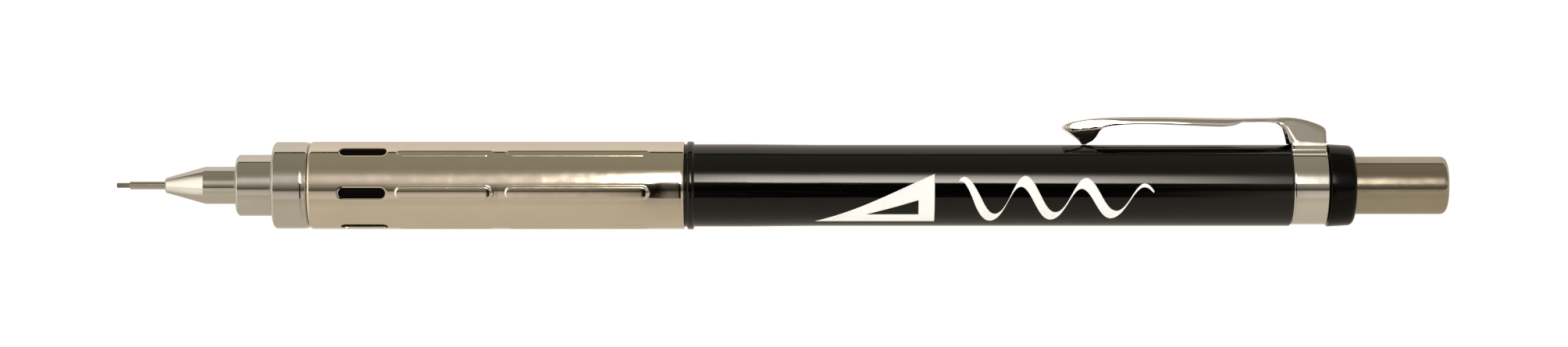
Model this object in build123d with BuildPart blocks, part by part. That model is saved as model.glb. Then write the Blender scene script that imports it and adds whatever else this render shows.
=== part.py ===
from build123d import *
import os

os.makedirs("parts", exist_ok=True)

# A drafting lead holder lying along X: the guide pipe's mouth is at X 0, the push cap is at +X and the
# pocket clip is on +Z. All sizes are in millimetres.

# Lead
LEAD_R = 0.28
LEAD_LENGTH = 60.0
LEAD_OUT = 1.5
LEAD_SLIP = 0.01

# Guide pipe
PIPE_R = 0.45
PIPE_BORE_R = 0.31
PIPE_OUT = 4.0
PIPE_SHOULDER_X = 4.1
PIPE_ROOT_R = 0.65
PIPE_END_X = 7.9
PIPE_FUNNEL = 0.5

# Nose: a cone, a short cylinder and two steps
NOSE_TIP_R = 0.83
CONE_END_X = 8.54
NOSE_NECK_R = 2.12
STEP1_X = 12.2
STEP1_R = 3.47
STEP2_X = 16.4
STEP2_R = 4.93
NOSE_END_X = 20.44
NOSE_BEVEL = (0.5, 0.25)
STEP_ROUND = 0.4
TIP_ROUND = 0.25
RETAINER_X = 8.2
RETAINER_END_X = 10.15
RETAINER_R = 1.35
RETAINER_MOUTH_R = 0.75
RETAINER_LIP_X = 9.0
RETAINER_LIP_END_X = 9.55
RETAINER_SLACK = 0.05
CHUCK_ROOM_R = 1.75
RING_STOP_X = 13.75
RING_ROOM_R = 2.45
FLANGE_X = 16.9
FLANGE_END_X = 17.7
NOSE_THREAD_R = 3.9

# Chuck, clutch ring, mechanism sleeve and spring
PUSH_STROKE = 2.8
CHUCK_X = 13.3
CHUCK_HEAD_R = 1.6
CHUCK_CONE_X = 13.9
CHUCK_NECK_X = 15.6
CHUCK_NECK_R = 1.22
CHUCK_SHANK_R = 1.05
CHUCK_END_X = 34.2
CHUCK_BORE_R = 0.5
JAW_GRIP_END_X = 16.2
SLIT_WIDTH = 0.24
SLIT_END_X = 26.0
RING_X = 14.7
RING_R = 2.38
RING_END_X = FLANGE_X
CONE_GAP = 0.03
SLEEVE_R = 2.7
SLEEVE_END_X = 34.0
SLEEVE_FLANGE_R = 3.6
SLEEVE_NECK_R = 1.35
SPRING_SEAT_X = 18.4
SPRING_ROOM_R = 2.25
SPRING_MEAN_R = 1.7
SPRING_WIRE_R = 0.15
SPRING_PITCH = 1.0
SPRING_SLACK = 0.05

# Coupler, lead tube and what the tube holds
COUPLER_X = 31.2
COUPLER_R = 2.1
COUPLER_SLACK = 0.1
COUPLER_FLANGE_X = SLEEVE_END_X + PUSH_STROKE + COUPLER_SLACK
COUPLER_FLANGE_R = 2.75
COUPLER_END_X = 42.0
COUPLER_FUNNEL = 1.0
TUBE_X = 38.0
TUBE_R = 2.8
TUBE_BORE_R = 2.45
TUBE_END_X = 141.0
TUBE_SEAT_R = 2.93
TUBE_SEAT_X = 135.5
TUBE_SEAT_RAMP = 0.3
SPARE_LEAD_COUNT = 3
SPARE_LEAD_X = 50.0
SPARE_LEAD_PITCH_R = 2.15
SPARE_LEAD_STEP = 20.0

# Eraser, its ferrule and the cleaning pin
FERRULE_X = 137.0
FERRULE_R = 2.42
FERRULE_WALL = 0.22
FERRULE_FLANGE_R = 2.75
FERRULE_FLANGE = 0.35
FERRULE_END_X = 144.0
ERASER_END_X = 147.4
ERASER_ROUND = 0.5
PIN_R = 0.2
PIN_X = 112.0
PIN_HEAD = 0.4
PIN_HEAD_R = 1.2

# Push cap
CAP_R = 3.28
CAP_BORE_R = 2.98
CAP_X = 133.2
CAP_END_X = 149.07
CAP_FLOOR = 0.65
CAP_ROUND = 0.7
CAP_CORNER = 0.4

# Grip and its black liner
GRIP_X = 20.46
GRIP_END_X = 62.83
GRIP_R = 4.96
GRIP_BORE_R = 4.55
GRIP_EDGE_R = 4.7
GRIP_ROLL = 0.5
GRIP_END_BREAK = 0.1
LINER_R = 4.5
LINER_BORE_R = 3.1
LINER_THREAD_R = 3.85
LINER_SHOULDER_X = 20.56
LINER_END_X = 71.0
THREAD_PITCH = 0.6
THREAD_DEPTH = 0.25

# Six rows of one slot and two pressed ribs. A row's angle is measured about X, upwards from -Y.
ROW_COUNT = 6
ROW_START = 50.0
SLOT_X = 24.08
SLOT_LENGTH = 5.3
SLOT_WIDTH = 1.23
RIB_STARTS = (30.5, 42.84)
RIB_LENGTHS = (11.16, 16.41)
RIB_WIDTH = 1.5
RIB_HEIGHT = 0.13

# Barrel
BARREL_X = 62.85
BEAD_X = 63.1
BEAD_END_X = 63.94
BEAD_R = 5.0
BEAD_ROUND = 0.25
BARREL_FRONT_R = 4.68
BARREL_R = 4.61
TAPER_X = 70.0
TAPER_END_X = 78.0
BARREL_END_X = 131.3
BARREL_END_ROUND = 0.12
BARREL_BORE_R = 3.35
JOINT_BORE_R = 3.9
JOINT_END_X = 71.5
COLLAR_SOCKET_X = 124.5

# End collar
SPIGOT_X = 125.0
SPIGOT_R = 4.0
SPIGOT_CHAMFER = 0.2
COLLAR_X = 135.5
COLLAR_END_X = 138.5
COLLAR_FRONT_R = 4.69
COLLAR_REAR_R = 4.52
COLLAR_ROUND = 0.7
COLLAR_FRONT_ROUND = 0.15
COLLAR_BORE_R = 3.36

# Clip: one stamping of sheet steel, divided where it flexes
SHEET = 0.4
CLIP_HALF_WIDTH = 2.2
BAND_X = 131.4
BAND_END_X = 135.4
BAND_BORE_R = 4.04
FLEXURE_X = 128.0
FLEXURE_GAP = 0.05
CLIP_TOP_Z = 7.66
CONTACT_X = 108.05
CONTACT_R = 0.7
CONTACT_Z = 4.65
SHELL_END_X = 135.3
SHELL_FLOOR_Z = 3.4
STEM_BACK = [(135.03, 6.62), (134.5, 6.92), (133.07, 7.4), (131.66, 7.65), (130.25, 7.72)]
STEM_FRONT = [(129.7, 7.21), (130.4, 6.93), (130.75, 6.45), (131.1, 5.5), (BAND_X, 4.75)]
STEM_BACK_Z = 6.27
STEM_HOLLOW_X = 129.9
STEM_HOLLOW_STEP = 0.12
ARM_TIP = [(105.68, 6.45), (105.95, 6.82)]
ARM_TOP = [(106.5, 7.13), (107.7, 7.38), (109.2, 7.58), (112.5, 7.76), (116.1, 7.76), (121.1, 7.69)]
ARM_NECK = (126.0, 7.24)
ARM_EDGE = [(124.9, 6.8), (123.3, 6.73), (119.6, 6.88), (115.8, 7.0), (112.2, 6.86), (110.2, 6.5)]
ARM_TOE = [(109.5, 5.75), (108.6, 5.02)]
ARM_CHIN = [(107.9, 5.08), (105.8, 6.2)]
ARM_HOLLOW = (106.7, 6.75)
ARM_HOLLOW_HEEL = (108.5, 5.35)


def rim(builder, x, radius):
    """The round edge of a turned part that lies nearest to this X and radius."""
    circles = builder.edges().filter_by(GeomType.CIRCLE)
    return circles.sort_by(lambda e: abs(e.radius - radius) + abs(e.arc_center.X - x))[0]


def thread_crests(start, end, crest_r):
    """The zigzag of (X, radius) points of a male thread drawn as rings, from start to end."""
    count = int((end - start) / THREAD_PITCH)
    points = []
    for turn in range(count):
        x = start + turn * THREAD_PITCH
        points.append((x, crest_r - THREAD_DEPTH))
        points.append((x + THREAD_PITCH / 2, crest_r))
    points.append((start + count * THREAD_PITCH, crest_r - THREAD_DEPTH))
    return points


# --- Lead --------------------------------------------------------------------------------------------
with BuildPart() as lead:
    with BuildSketch(Plane.YZ.offset(-LEAD_OUT)):
        Circle(LEAD_R)
    extrude(amount=LEAD_LENGTH)
lead.part.label = "lead"
export_step(lead.part, "parts/lead.step")

# --- Guide pipe: drawn steel tube, swelled at its root so that it can't pull out of the nose ---------
with BuildPart() as guide_pipe:
    with BuildSketch(Plane.XZ):
        with BuildLine():
            Polyline(
                (0, PIPE_BORE_R),
                (0, PIPE_R),
                (PIPE_SHOULDER_X, PIPE_R),
                (PIPE_SHOULDER_X, PIPE_ROOT_R),
                (PIPE_END_X, PIPE_ROOT_R),
                (PIPE_END_X, PIPE_R),
                (PIPE_END_X - PIPE_FUNNEL, PIPE_BORE_R),
                close=True,
            )
        make_face()
    revolve(axis=Axis.X)
guide_pipe.part.label = "guide_pipe"
export_step(guide_pipe.part, "parts/guide_pipe.step")

# --- Nose: turned and plated, with a cone, a neck and two steps --------------------------------------
with BuildPart() as nose:
    with BuildSketch(Plane.XZ):
        with BuildLine():
            Polyline(
                (PIPE_OUT, PIPE_R),
                (PIPE_OUT, NOSE_TIP_R),
                (CONE_END_X, NOSE_NECK_R),
                (STEP1_X, NOSE_NECK_R),
                (STEP1_X, STEP1_R),
                (STEP2_X, STEP1_R),
                (STEP2_X, STEP2_R),
                (NOSE_END_X - NOSE_BEVEL[0], STEP2_R),
                (NOSE_END_X, STEP2_R - NOSE_BEVEL[1]),
                (NOSE_END_X, NOSE_THREAD_R),
                (FLANGE_X, NOSE_THREAD_R),
                (FLANGE_X, RING_ROOM_R),
                (RING_STOP_X, RING_ROOM_R),
                (RING_STOP_X, CHUCK_ROOM_R),
                (RETAINER_END_X, CHUCK_ROOM_R),
                (RETAINER_END_X, RETAINER_R),
                (RETAINER_X, RETAINER_R),
                (RETAINER_X, PIPE_ROOT_R),
                (PIPE_SHOULDER_X, PIPE_ROOT_R),
                (PIPE_SHOULDER_X, PIPE_R),
                close=True,
            )
        make_face()
    revolve(axis=Axis.X)
    fillet([rim(nose, STEP1_X, STEP1_R), rim(nose, STEP2_X, STEP2_R)], radius=STEP_ROUND)
    fillet(rim(nose, PIPE_OUT, NOSE_TIP_R), radius=TIP_ROUND)
nose.part.label = "nose"
export_step(nose.part, "parts/nose.step")

# --- Lead retainer: a rubber bush that brakes the lead while the chuck goes back for more -------------
with BuildPart() as lead_retainer:
    with BuildSketch(Plane.XZ):
        with BuildLine():
            Polyline(
                (RETAINER_X, LEAD_R + RETAINER_SLACK),
                (RETAINER_X, RETAINER_R),
                (RETAINER_END_X, RETAINER_R),
                (RETAINER_END_X, RETAINER_MOUTH_R),
                (RETAINER_LIP_END_X, LEAD_R + LEAD_SLIP),
                (RETAINER_LIP_X, LEAD_R + LEAD_SLIP),
                close=True,
            )
        make_face()
    revolve(axis=Axis.X)
lead_retainer.part.label = "lead_retainer"
export_step(lead_retainer.part, "parts/lead_retainer.step")

# --- Chuck: brass collet with a conical head and three slits -----------------------------------------
with BuildPart() as chuck:
    with BuildSketch(Plane.XZ):
        with BuildLine():
            Polyline(
                (CHUCK_X, LEAD_R + LEAD_SLIP),
                (CHUCK_X, CHUCK_HEAD_R - (CHUCK_CONE_X - CHUCK_X) / 2),
                (CHUCK_CONE_X, CHUCK_HEAD_R),
                (CHUCK_NECK_X, CHUCK_NECK_R),
                (CHUCK_NECK_X, CHUCK_SHANK_R),
                (CHUCK_END_X, CHUCK_SHANK_R),
                (CHUCK_END_X, CHUCK_BORE_R),
                (JAW_GRIP_END_X, CHUCK_BORE_R),
                (JAW_GRIP_END_X, LEAD_R + LEAD_SLIP),
                close=True,
            )
        make_face()
    revolve(axis=Axis.X)
    for slit in range(3):
        with BuildSketch(Plane.YZ.offset(CHUCK_X).rotated((slit * 120, 0, 0))):
            with Locations((0, CHUCK_HEAD_R / 2)):
                Rectangle(SLIT_WIDTH, CHUCK_HEAD_R)
        extrude(amount=SLIT_END_X - CHUCK_X, mode=Mode.SUBTRACT)
chuck.part.label = "chuck"
export_step(chuck.part, "parts/chuck.step")

# --- Clutch ring: squeezes the jaws until it meets the stop in the nose ------------------------------
with BuildPart() as clutch_ring:
    cone_slope = (CHUCK_HEAD_R - CHUCK_NECK_R) / (CHUCK_NECK_X - CHUCK_CONE_X)
    ring_mouth_r = CHUCK_HEAD_R - (RING_X - CHUCK_CONE_X) * cone_slope + CONE_GAP
    with BuildSketch(Plane.XZ):
        with BuildLine():
            Polyline(
                (RING_X, ring_mouth_r),
                (RING_X, RING_R),
                (RING_END_X, RING_R),
                (RING_END_X, CHUCK_NECK_R + CONE_GAP),
                (CHUCK_NECK_X, CHUCK_NECK_R + CONE_GAP),
                close=True,
            )
        make_face()
    revolve(axis=Axis.X)
clutch_ring.part.label = "clutch_ring"
export_step(clutch_ring.part, "parts/clutch_ring.step")

# --- Mechanism sleeve: its flange is clamped between the nose and the liner ---------------------------
with BuildPart() as mechanism_sleeve:
    with BuildSketch(Plane.XZ):
        with BuildLine():
            Polyline(
                (FLANGE_X, SLEEVE_NECK_R),
                (FLANGE_X, SLEEVE_FLANGE_R),
                (FLANGE_END_X, SLEEVE_FLANGE_R),
                (FLANGE_END_X, SLEEVE_R),
                (SLEEVE_END_X, SLEEVE_R),
                (SLEEVE_END_X, SPRING_ROOM_R),
                (SPRING_SEAT_X, SPRING_ROOM_R),
                (SPRING_SEAT_X, SLEEVE_NECK_R),
                close=True,
            )
        make_face()
    revolve(axis=Axis.X)
mechanism_sleeve.part.label = "mechanism_sleeve"
export_step(mechanism_sleeve.part, "parts/mechanism_sleeve.step")

# --- Chuck spring: between the sleeve's seat and the coupler -----------------------------------------
spring_start = SPRING_SEAT_X + SPRING_WIRE_R
spring_length = COUPLER_X - SPRING_SEAT_X - 2 * SPRING_WIRE_R - SPRING_SLACK
with BuildPart() as chuck_spring:
    with BuildLine():
        coil = Helix(
            SPRING_PITCH,
            spring_length,
            SPRING_MEAN_R,
            center=(spring_start, 0, 0),
            direction=(1, 0, 0),
        )
    with BuildSketch(Plane(origin=coil @ 0, z_dir=coil % 0)):
        Circle(SPRING_WIRE_R)
    sweep(path=coil, is_frenet=True)
chuck_spring.part.label = "chuck_spring"
export_step(chuck_spring.part, "parts/chuck_spring.step")

# --- Coupler: joins the chuck's shank to the lead tube ------------------------------------------------
with BuildPart() as coupler:
    with BuildSketch(Plane.XZ):
        with BuildLine():
            Polyline(
                (COUPLER_X, CHUCK_SHANK_R),
                (COUPLER_X, COUPLER_R),
                (COUPLER_FLANGE_X, COUPLER_R),
                (COUPLER_FLANGE_X, COUPLER_FLANGE_R),
                (TUBE_X, COUPLER_FLANGE_R),
                (TUBE_X, TUBE_BORE_R),
                (COUPLER_END_X, TUBE_BORE_R),
                (COUPLER_END_X - COUPLER_FUNNEL, CHUCK_BORE_R),
                (CHUCK_END_X, CHUCK_BORE_R),
                (CHUCK_END_X, CHUCK_SHANK_R),
                close=True,
            )
        make_face()
    revolve(axis=Axis.X)
coupler.part.label = "coupler"
export_step(coupler.part, "parts/coupler.step")

# --- Lead tube: carries the push from the cap and stores spare leads ---------------------------------
with BuildPart() as lead_tube:
    with BuildSketch(Plane.XZ):
        with BuildLine():
            Polyline(
                (TUBE_X, TUBE_BORE_R),
                (TUBE_X, TUBE_R),
                (TUBE_SEAT_X, TUBE_R),
                (TUBE_SEAT_X + TUBE_SEAT_RAMP, TUBE_SEAT_R),
                (TUBE_END_X - TUBE_SEAT_RAMP, TUBE_SEAT_R),
                (TUBE_END_X, TUBE_R),
                (TUBE_END_X, TUBE_BORE_R),
                close=True,
            )
        make_face()
    revolve(axis=Axis.X)
lead_tube.part.label = "lead_tube"
export_step(lead_tube.part, "parts/lead_tube.step")

# --- Spare leads: lying side by side along the bottom of the lead tube -------------------------------
with BuildPart() as spare_leads:
    with BuildSketch(Plane.YZ.offset(SPARE_LEAD_X)):
        first_angle = -90 - SPARE_LEAD_STEP * (SPARE_LEAD_COUNT - 1) / 2
        with PolarLocations(
            SPARE_LEAD_PITCH_R,
            SPARE_LEAD_COUNT,
            start_angle=first_angle,
            angular_range=SPARE_LEAD_STEP * (SPARE_LEAD_COUNT - 1),
            endpoint=True,
        ):
            Circle(LEAD_R)
    extrude(amount=LEAD_LENGTH)
spare_leads.part.label = "spare_leads"
export_step(spare_leads.part, "parts/spare_leads.step")

# --- Eraser ferrule: a drawn cup whose lip hangs on the lead tube's end -------------------------------
with BuildPart() as eraser_ferrule:
    with BuildSketch(Plane.XZ):
        with BuildLine():
            Polyline(
                (FERRULE_X, PIN_R),
                (FERRULE_X, FERRULE_R),
                (TUBE_END_X, FERRULE_R),
                (TUBE_END_X, FERRULE_FLANGE_R),
                (TUBE_END_X + FERRULE_FLANGE, FERRULE_FLANGE_R),
                (TUBE_END_X + FERRULE_FLANGE, FERRULE_R),
                (FERRULE_END_X, FERRULE_R),
                (FERRULE_END_X, FERRULE_R - FERRULE_WALL),
                (FERRULE_X + FERRULE_WALL, FERRULE_R - FERRULE_WALL),
                (FERRULE_X + FERRULE_WALL, PIN_R),
                close=True,
            )
        make_face()
    revolve(axis=Axis.X)
eraser_ferrule.part.label = "eraser_ferrule"
export_step(eraser_ferrule.part, "parts/eraser_ferrule.step")

# --- Eraser -------------------------------------------------------------------------------------------
eraser_r = FERRULE_R - FERRULE_WALL
eraser_x = FERRULE_X + FERRULE_WALL + PIN_HEAD
with BuildPart() as eraser:
    with BuildSketch(Plane.YZ.offset(eraser_x)):
        Circle(eraser_r)
    extrude(amount=ERASER_END_X - eraser_x)
    fillet(eraser.faces().sort_by(Axis.X)[-1].edges(), radius=ERASER_ROUND)
eraser.part.label = "eraser"
export_step(eraser.part, "parts/eraser.step")

# --- Cleaning pin: a headed wire that clears the guide pipe ------------------------------------------
with BuildPart() as cleaning_pin:
    with BuildSketch(Plane.XZ):
        with BuildLine():
            Polyline(
                (PIN_X, 0),
                (PIN_X + PIN_R, PIN_R),
                (FERRULE_X + FERRULE_WALL, PIN_R),
                (FERRULE_X + FERRULE_WALL, PIN_HEAD_R),
                (eraser_x, PIN_HEAD_R),
                (eraser_x, 0),
                close=True,
            )
        make_face()
    revolve(axis=Axis.X)
cleaning_pin.part.label = "cleaning_pin"
export_step(cleaning_pin.part, "parts/cleaning_pin.step")

# --- Push cap: a deep-drawn shell that slips over the lead tube --------------------------------------
with BuildPart() as push_cap:
    with BuildSketch(Plane.XZ):
        with BuildLine():
            Polyline(
                (CAP_X, CAP_BORE_R),
                (CAP_X, CAP_R),
                (CAP_END_X, CAP_R),
                (CAP_END_X, 0),
                (CAP_END_X - CAP_FLOOR, 0),
                (CAP_END_X - CAP_FLOOR, CAP_BORE_R - CAP_CORNER),
                (CAP_END_X - CAP_FLOOR - CAP_CORNER, CAP_BORE_R),
                close=True,
            )
        make_face()
    revolve(axis=Axis.X)
    fillet(rim(push_cap, CAP_END_X, CAP_R), radius=CAP_ROUND)
push_cap.part.label = "push_cap"
export_step(push_cap.part, "parts/push_cap.step")

# --- Liner: black core of the grip, threaded at both ends ---------------------------------------------
with BuildPart() as grip_liner:
    with BuildSketch(Plane.XZ):
        with BuildLine():
            Polyline(
                (FLANGE_END_X, LINER_BORE_R),
                *thread_crests(FLANGE_END_X, NOSE_END_X, LINER_THREAD_R),
                (LINER_SHOULDER_X, LINER_THREAD_R - THREAD_DEPTH),
                (LINER_SHOULDER_X, LINER_R),
                (GRIP_END_X, LINER_R),
                *thread_crests(GRIP_END_X, LINER_END_X, LINER_THREAD_R),
                (LINER_END_X, LINER_BORE_R),
                close=True,
            )
        make_face()
    revolve(axis=Axis.X)
grip_liner.part.label = "grip_liner"
export_step(grip_liner.part, "parts/grip_liner.step")

# --- Grip: a plated sheet tube with pierced slots and pressed ribs -----------------------------------
with BuildPart() as grip:
    with BuildSketch(Plane.XZ):
        with BuildLine():
            Polyline(
                (GRIP_X, GRIP_BORE_R),
                (GRIP_X, GRIP_EDGE_R),
                (GRIP_X + GRIP_ROLL, GRIP_R),
                (GRIP_END_X - GRIP_END_BREAK, GRIP_R),
                (GRIP_END_X, GRIP_R - GRIP_END_BREAK),
                (GRIP_END_X, GRIP_BORE_R),
                close=True,
            )
        make_face()
    revolve(axis=Axis.X)
    for row in range(ROW_COUNT):
        row_plane = Plane.XZ.rotated((-ROW_START - row * 360 / ROW_COUNT, 0, 0))
        with BuildSketch(row_plane.offset(GRIP_BORE_R)):
            for start, length in zip(RIB_STARTS, RIB_LENGTHS):
                with Locations((start + length / 2, 0)):
                    SlotOverall(length, RIB_WIDTH)
        extrude(amount=GRIP_R - GRIP_BORE_R + 2 * RIB_HEIGHT)
        with BuildSketch(row_plane):
            with Locations((SLOT_X + SLOT_LENGTH / 2, 0)):
                SlotOverall(SLOT_LENGTH, SLOT_WIDTH)
        extrude(amount=2 * GRIP_R, mode=Mode.SUBTRACT)
    with BuildSketch(Plane.YZ.offset(GRIP_X)):
        Circle(GRIP_R + RIB_HEIGHT)
        Circle(GRIP_BORE_R, mode=Mode.SUBTRACT)
    extrude(amount=GRIP_END_X - GRIP_X, mode=Mode.INTERSECT)
grip.part.label = "grip"
export_step(grip.part, "parts/grip.step")

# --- Barrel: moulded tube with a bead where it meets the grip ----------------------------------------
with BuildPart() as barrel:
    with BuildSketch(Plane.XZ):
        with BuildLine():
            Polyline(
                (BARREL_X, JOINT_BORE_R),
                (BARREL_X, GRIP_EDGE_R),
                (BEAD_X, GRIP_EDGE_R),
                (BEAD_X, BEAD_R),
                (BEAD_END_X, BEAD_R),
                (BEAD_END_X, BARREL_FRONT_R),
                (TAPER_X, BARREL_FRONT_R),
                (TAPER_END_X, BARREL_R),
                (BARREL_END_X, BARREL_R),
                (BARREL_END_X, SPIGOT_R),
                (COLLAR_SOCKET_X, SPIGOT_R),
                (COLLAR_SOCKET_X, BARREL_BORE_R),
                (JOINT_END_X, BARREL_BORE_R),
                (JOINT_END_X, JOINT_BORE_R),
                close=True,
            )
        make_face()
    revolve(axis=Axis.X)
    fillet([rim(barrel, BEAD_X, BEAD_R), rim(barrel, BEAD_END_X, BEAD_R)], radius=BEAD_ROUND)
    fillet(rim(barrel, BARREL_END_X, BARREL_R), radius=BARREL_END_ROUND)
barrel.part.label = "barrel"
export_step(barrel.part, "parts/barrel.step")

# --- End collar: its spigot passes through the clip's band into the barrel ---------------------------
with BuildPart() as end_collar:
    with BuildSketch(Plane.XZ):
        with BuildLine():
            Polyline(
                (SPIGOT_X, COLLAR_BORE_R),
                (SPIGOT_X, SPIGOT_R - SPIGOT_CHAMFER),
                (SPIGOT_X + SPIGOT_CHAMFER, SPIGOT_R),
                (COLLAR_X, SPIGOT_R),
                (COLLAR_X, COLLAR_FRONT_R),
                (COLLAR_END_X, COLLAR_REAR_R),
                (COLLAR_END_X, COLLAR_BORE_R),
                close=True,
            )
        make_face()
    revolve(axis=Axis.X)
    fillet(rim(end_collar, COLLAR_END_X, COLLAR_REAR_R), radius=COLLAR_ROUND)
    fillet(rim(end_collar, COLLAR_X, COLLAR_FRONT_R), radius=COLLAR_FRONT_ROUND)
end_collar.part.label = "end_collar"
export_step(end_collar.part, "parts/end_collar.step")

# --- Clip base: the band, and the stem that rises from it to the flexure -----------------------------
with BuildPart() as clip_base:
    with BuildSketch(Plane.XZ):
        with BuildLine():
            Spline((SHELL_END_X, STEM_BACK_Z), *STEM_BACK, (FLEXURE_X + FLEXURE_GAP, CLIP_TOP_Z))
            Polyline(
                (FLEXURE_X + FLEXURE_GAP, CLIP_TOP_Z),
                (FLEXURE_X + FLEXURE_GAP, CLIP_TOP_Z - SHEET),
                STEM_FRONT[0],
            )
            Spline(*STEM_FRONT)
            Polyline(
                STEM_FRONT[-1],
                (BAND_X, SHELL_FLOOR_Z),
                (SHELL_END_X, SHELL_FLOOR_Z),
                (SHELL_END_X, STEM_BACK_Z),
            )
        make_face()
    extrude(amount=CLIP_HALF_WIDTH, both=True)
    with BuildSketch(Plane.XZ):
        with BuildLine():
            hollow_back = (SHELL_END_X - SHEET, STEM_BACK_Z - SHEET / 2)
            Spline(
                hollow_back,
                *[(x - STEM_HOLLOW_STEP, z - SHEET) for x, z in STEM_BACK[1:]],
                (STEM_HOLLOW_X, CLIP_TOP_Z - SHEET),
            )
            Polyline(
                (STEM_HOLLOW_X, CLIP_TOP_Z - SHEET),
                (STEM_HOLLOW_X, SHELL_FLOOR_Z - SHEET),
                (SHELL_END_X - SHEET, SHELL_FLOOR_Z - SHEET),
                hollow_back,
            )
        make_face()
    extrude(amount=CLIP_HALF_WIDTH - SHEET, both=True, mode=Mode.SUBTRACT)
    with BuildSketch(Plane.YZ.offset(BAND_X)):
        Circle(BAND_BORE_R + SHEET)
        with Locations((0, BAND_BORE_R)):
            Rectangle(2 * (CLIP_HALF_WIDTH - SHEET), 4 * SHEET, mode=Mode.SUBTRACT)
    extrude(amount=BAND_END_X - BAND_X)
    with BuildSketch(Plane.YZ.offset(BAND_X - SHEET)):
        Circle(BAND_BORE_R)
    extrude(amount=BAND_END_X - BAND_X + 2 * SHEET, mode=Mode.SUBTRACT)
clip_base.part.label = "clip_base"
export_step(clip_base.part, "parts/clip_base.step")

# --- Clip arm: a channel that ends in a nose and a contact boss --------------------------------------
with BuildPart() as clip_arm:
    with BuildSketch(Plane.XZ):
        with BuildLine():
            Spline(*ARM_TIP, *ARM_TOP, (FLEXURE_X, CLIP_TOP_Z))
            Polyline((FLEXURE_X, CLIP_TOP_Z), (FLEXURE_X, CLIP_TOP_Z - SHEET), ARM_NECK)
            Spline(ARM_NECK, *ARM_EDGE, *ARM_TOE)
            Polyline(ARM_TOE[-1], *ARM_CHIN, ARM_TIP[0])
        make_face()
    extrude(amount=CLIP_HALF_WIDTH, both=True)
    with BuildSketch(Plane.XZ):
        with BuildLine():
            Spline(ARM_HOLLOW, *[(x, z - SHEET) for x, z in ARM_TOP[1:]], ARM_NECK)
            Polyline(
                ARM_NECK,
                (ARM_NECK[0], CONTACT_Z),
                (ARM_HOLLOW_HEEL[0], CONTACT_Z),
                ARM_HOLLOW_HEEL,
                ARM_HOLLOW,
            )
        make_face()
    extrude(amount=CLIP_HALF_WIDTH - SHEET, both=True, mode=Mode.SUBTRACT)
    with BuildSketch(Plane.XZ):
        with Locations((CONTACT_X, CONTACT_Z + CONTACT_R)):
            Circle(CONTACT_R)
    extrude(amount=CLIP_HALF_WIDTH / 2, both=True)
clip_arm.part.label = "clip_arm"
export_step(clip_arm.part, "parts/clip_arm.step")
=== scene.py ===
import math

import bmesh
import bpy
from bpy.props import FloatProperty, FloatVectorProperty, IntProperty, PointerProperty
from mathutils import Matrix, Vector


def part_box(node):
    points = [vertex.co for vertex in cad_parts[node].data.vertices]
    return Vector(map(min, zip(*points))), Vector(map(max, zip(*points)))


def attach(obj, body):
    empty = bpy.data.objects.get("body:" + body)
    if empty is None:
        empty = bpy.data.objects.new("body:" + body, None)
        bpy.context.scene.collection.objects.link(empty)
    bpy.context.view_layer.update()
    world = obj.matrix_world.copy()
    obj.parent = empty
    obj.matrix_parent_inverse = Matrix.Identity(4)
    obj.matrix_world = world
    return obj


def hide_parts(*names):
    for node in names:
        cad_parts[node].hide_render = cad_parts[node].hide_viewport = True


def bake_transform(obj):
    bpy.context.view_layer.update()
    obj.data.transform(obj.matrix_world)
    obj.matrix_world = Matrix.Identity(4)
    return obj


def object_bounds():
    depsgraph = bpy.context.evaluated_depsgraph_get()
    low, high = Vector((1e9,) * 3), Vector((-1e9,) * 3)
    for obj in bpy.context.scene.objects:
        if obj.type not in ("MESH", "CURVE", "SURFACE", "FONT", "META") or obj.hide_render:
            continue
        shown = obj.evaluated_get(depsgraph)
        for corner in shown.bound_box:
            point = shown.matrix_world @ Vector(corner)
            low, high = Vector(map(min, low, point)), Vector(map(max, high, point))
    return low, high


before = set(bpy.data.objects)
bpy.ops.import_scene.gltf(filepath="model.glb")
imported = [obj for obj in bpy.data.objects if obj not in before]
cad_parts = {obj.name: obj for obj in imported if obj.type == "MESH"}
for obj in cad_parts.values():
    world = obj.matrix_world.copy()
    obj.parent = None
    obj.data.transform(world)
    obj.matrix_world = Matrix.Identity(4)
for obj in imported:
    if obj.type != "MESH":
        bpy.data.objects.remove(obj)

bl_info = {
    "name": "Drafting Lead Holder",
    "version": (1, 0, 0),
    "blender": (4, 5, 0),
    "location": "View3D > Sidebar > Lead Holder",
    "description": "Builds a clutch lead holder with a slotted metal grip, a pocket clip and a push cap",
    "category": "Add Mesh",
}

# Outlines and sections are written in millimetres; meshes are built in metres.
MM = 0.001
CAD_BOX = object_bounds()


def span(node):
    """A CAD node's first X, last X and largest radius from the axis, in millimetres."""
    low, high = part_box(node)
    return low.x / MM, high.x / MM, max(high.y, -low.y) / MM


LEAD_FRONT, LEAD_BACK, LEAD_R = span("lead")
PIPE_FRONT, PIPE_BACK, PIPE_ROOT_R = span("guide_pipe")
NOSE_FRONT, NOSE_BACK, NOSE_R = span("nose")
GRIP_FRONT, GRIP_BACK = span("grip")[:2]
BARREL_FRONT, BARREL_BACK, BEAD_R = span("barrel")
COLLAR_FRONT, COLLAR_BACK, COLLAR_R = span("end_collar")
CAP_FRONT, CAP_BACK, CAP_R = span("push_cap")

PIPE_R = 0.45
PIPE_BORE_R = 0.31
BARREL_R = 4.61
BARREL_FRONT_R = 4.68
BARREL_BORE_R = 3.35
BEAD_FRONT = 63.1
BEAD_BACK = 63.94
BAND_SEAT_R = 4.0
BAND_END = 135.5
COLLAR_BORE_R = 3.36
CAP_BORE_R = 2.98
CAP_END_WALL = 0.65
PIPE_SEAT_X = 4.1
CONE_BACK = 8.54
NECK_R = 2.12
STEP_FRONT = 12.2
STEP_R = 3.47
LIP_FRONT = 16.4
THREAD_R = 3.9


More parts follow.
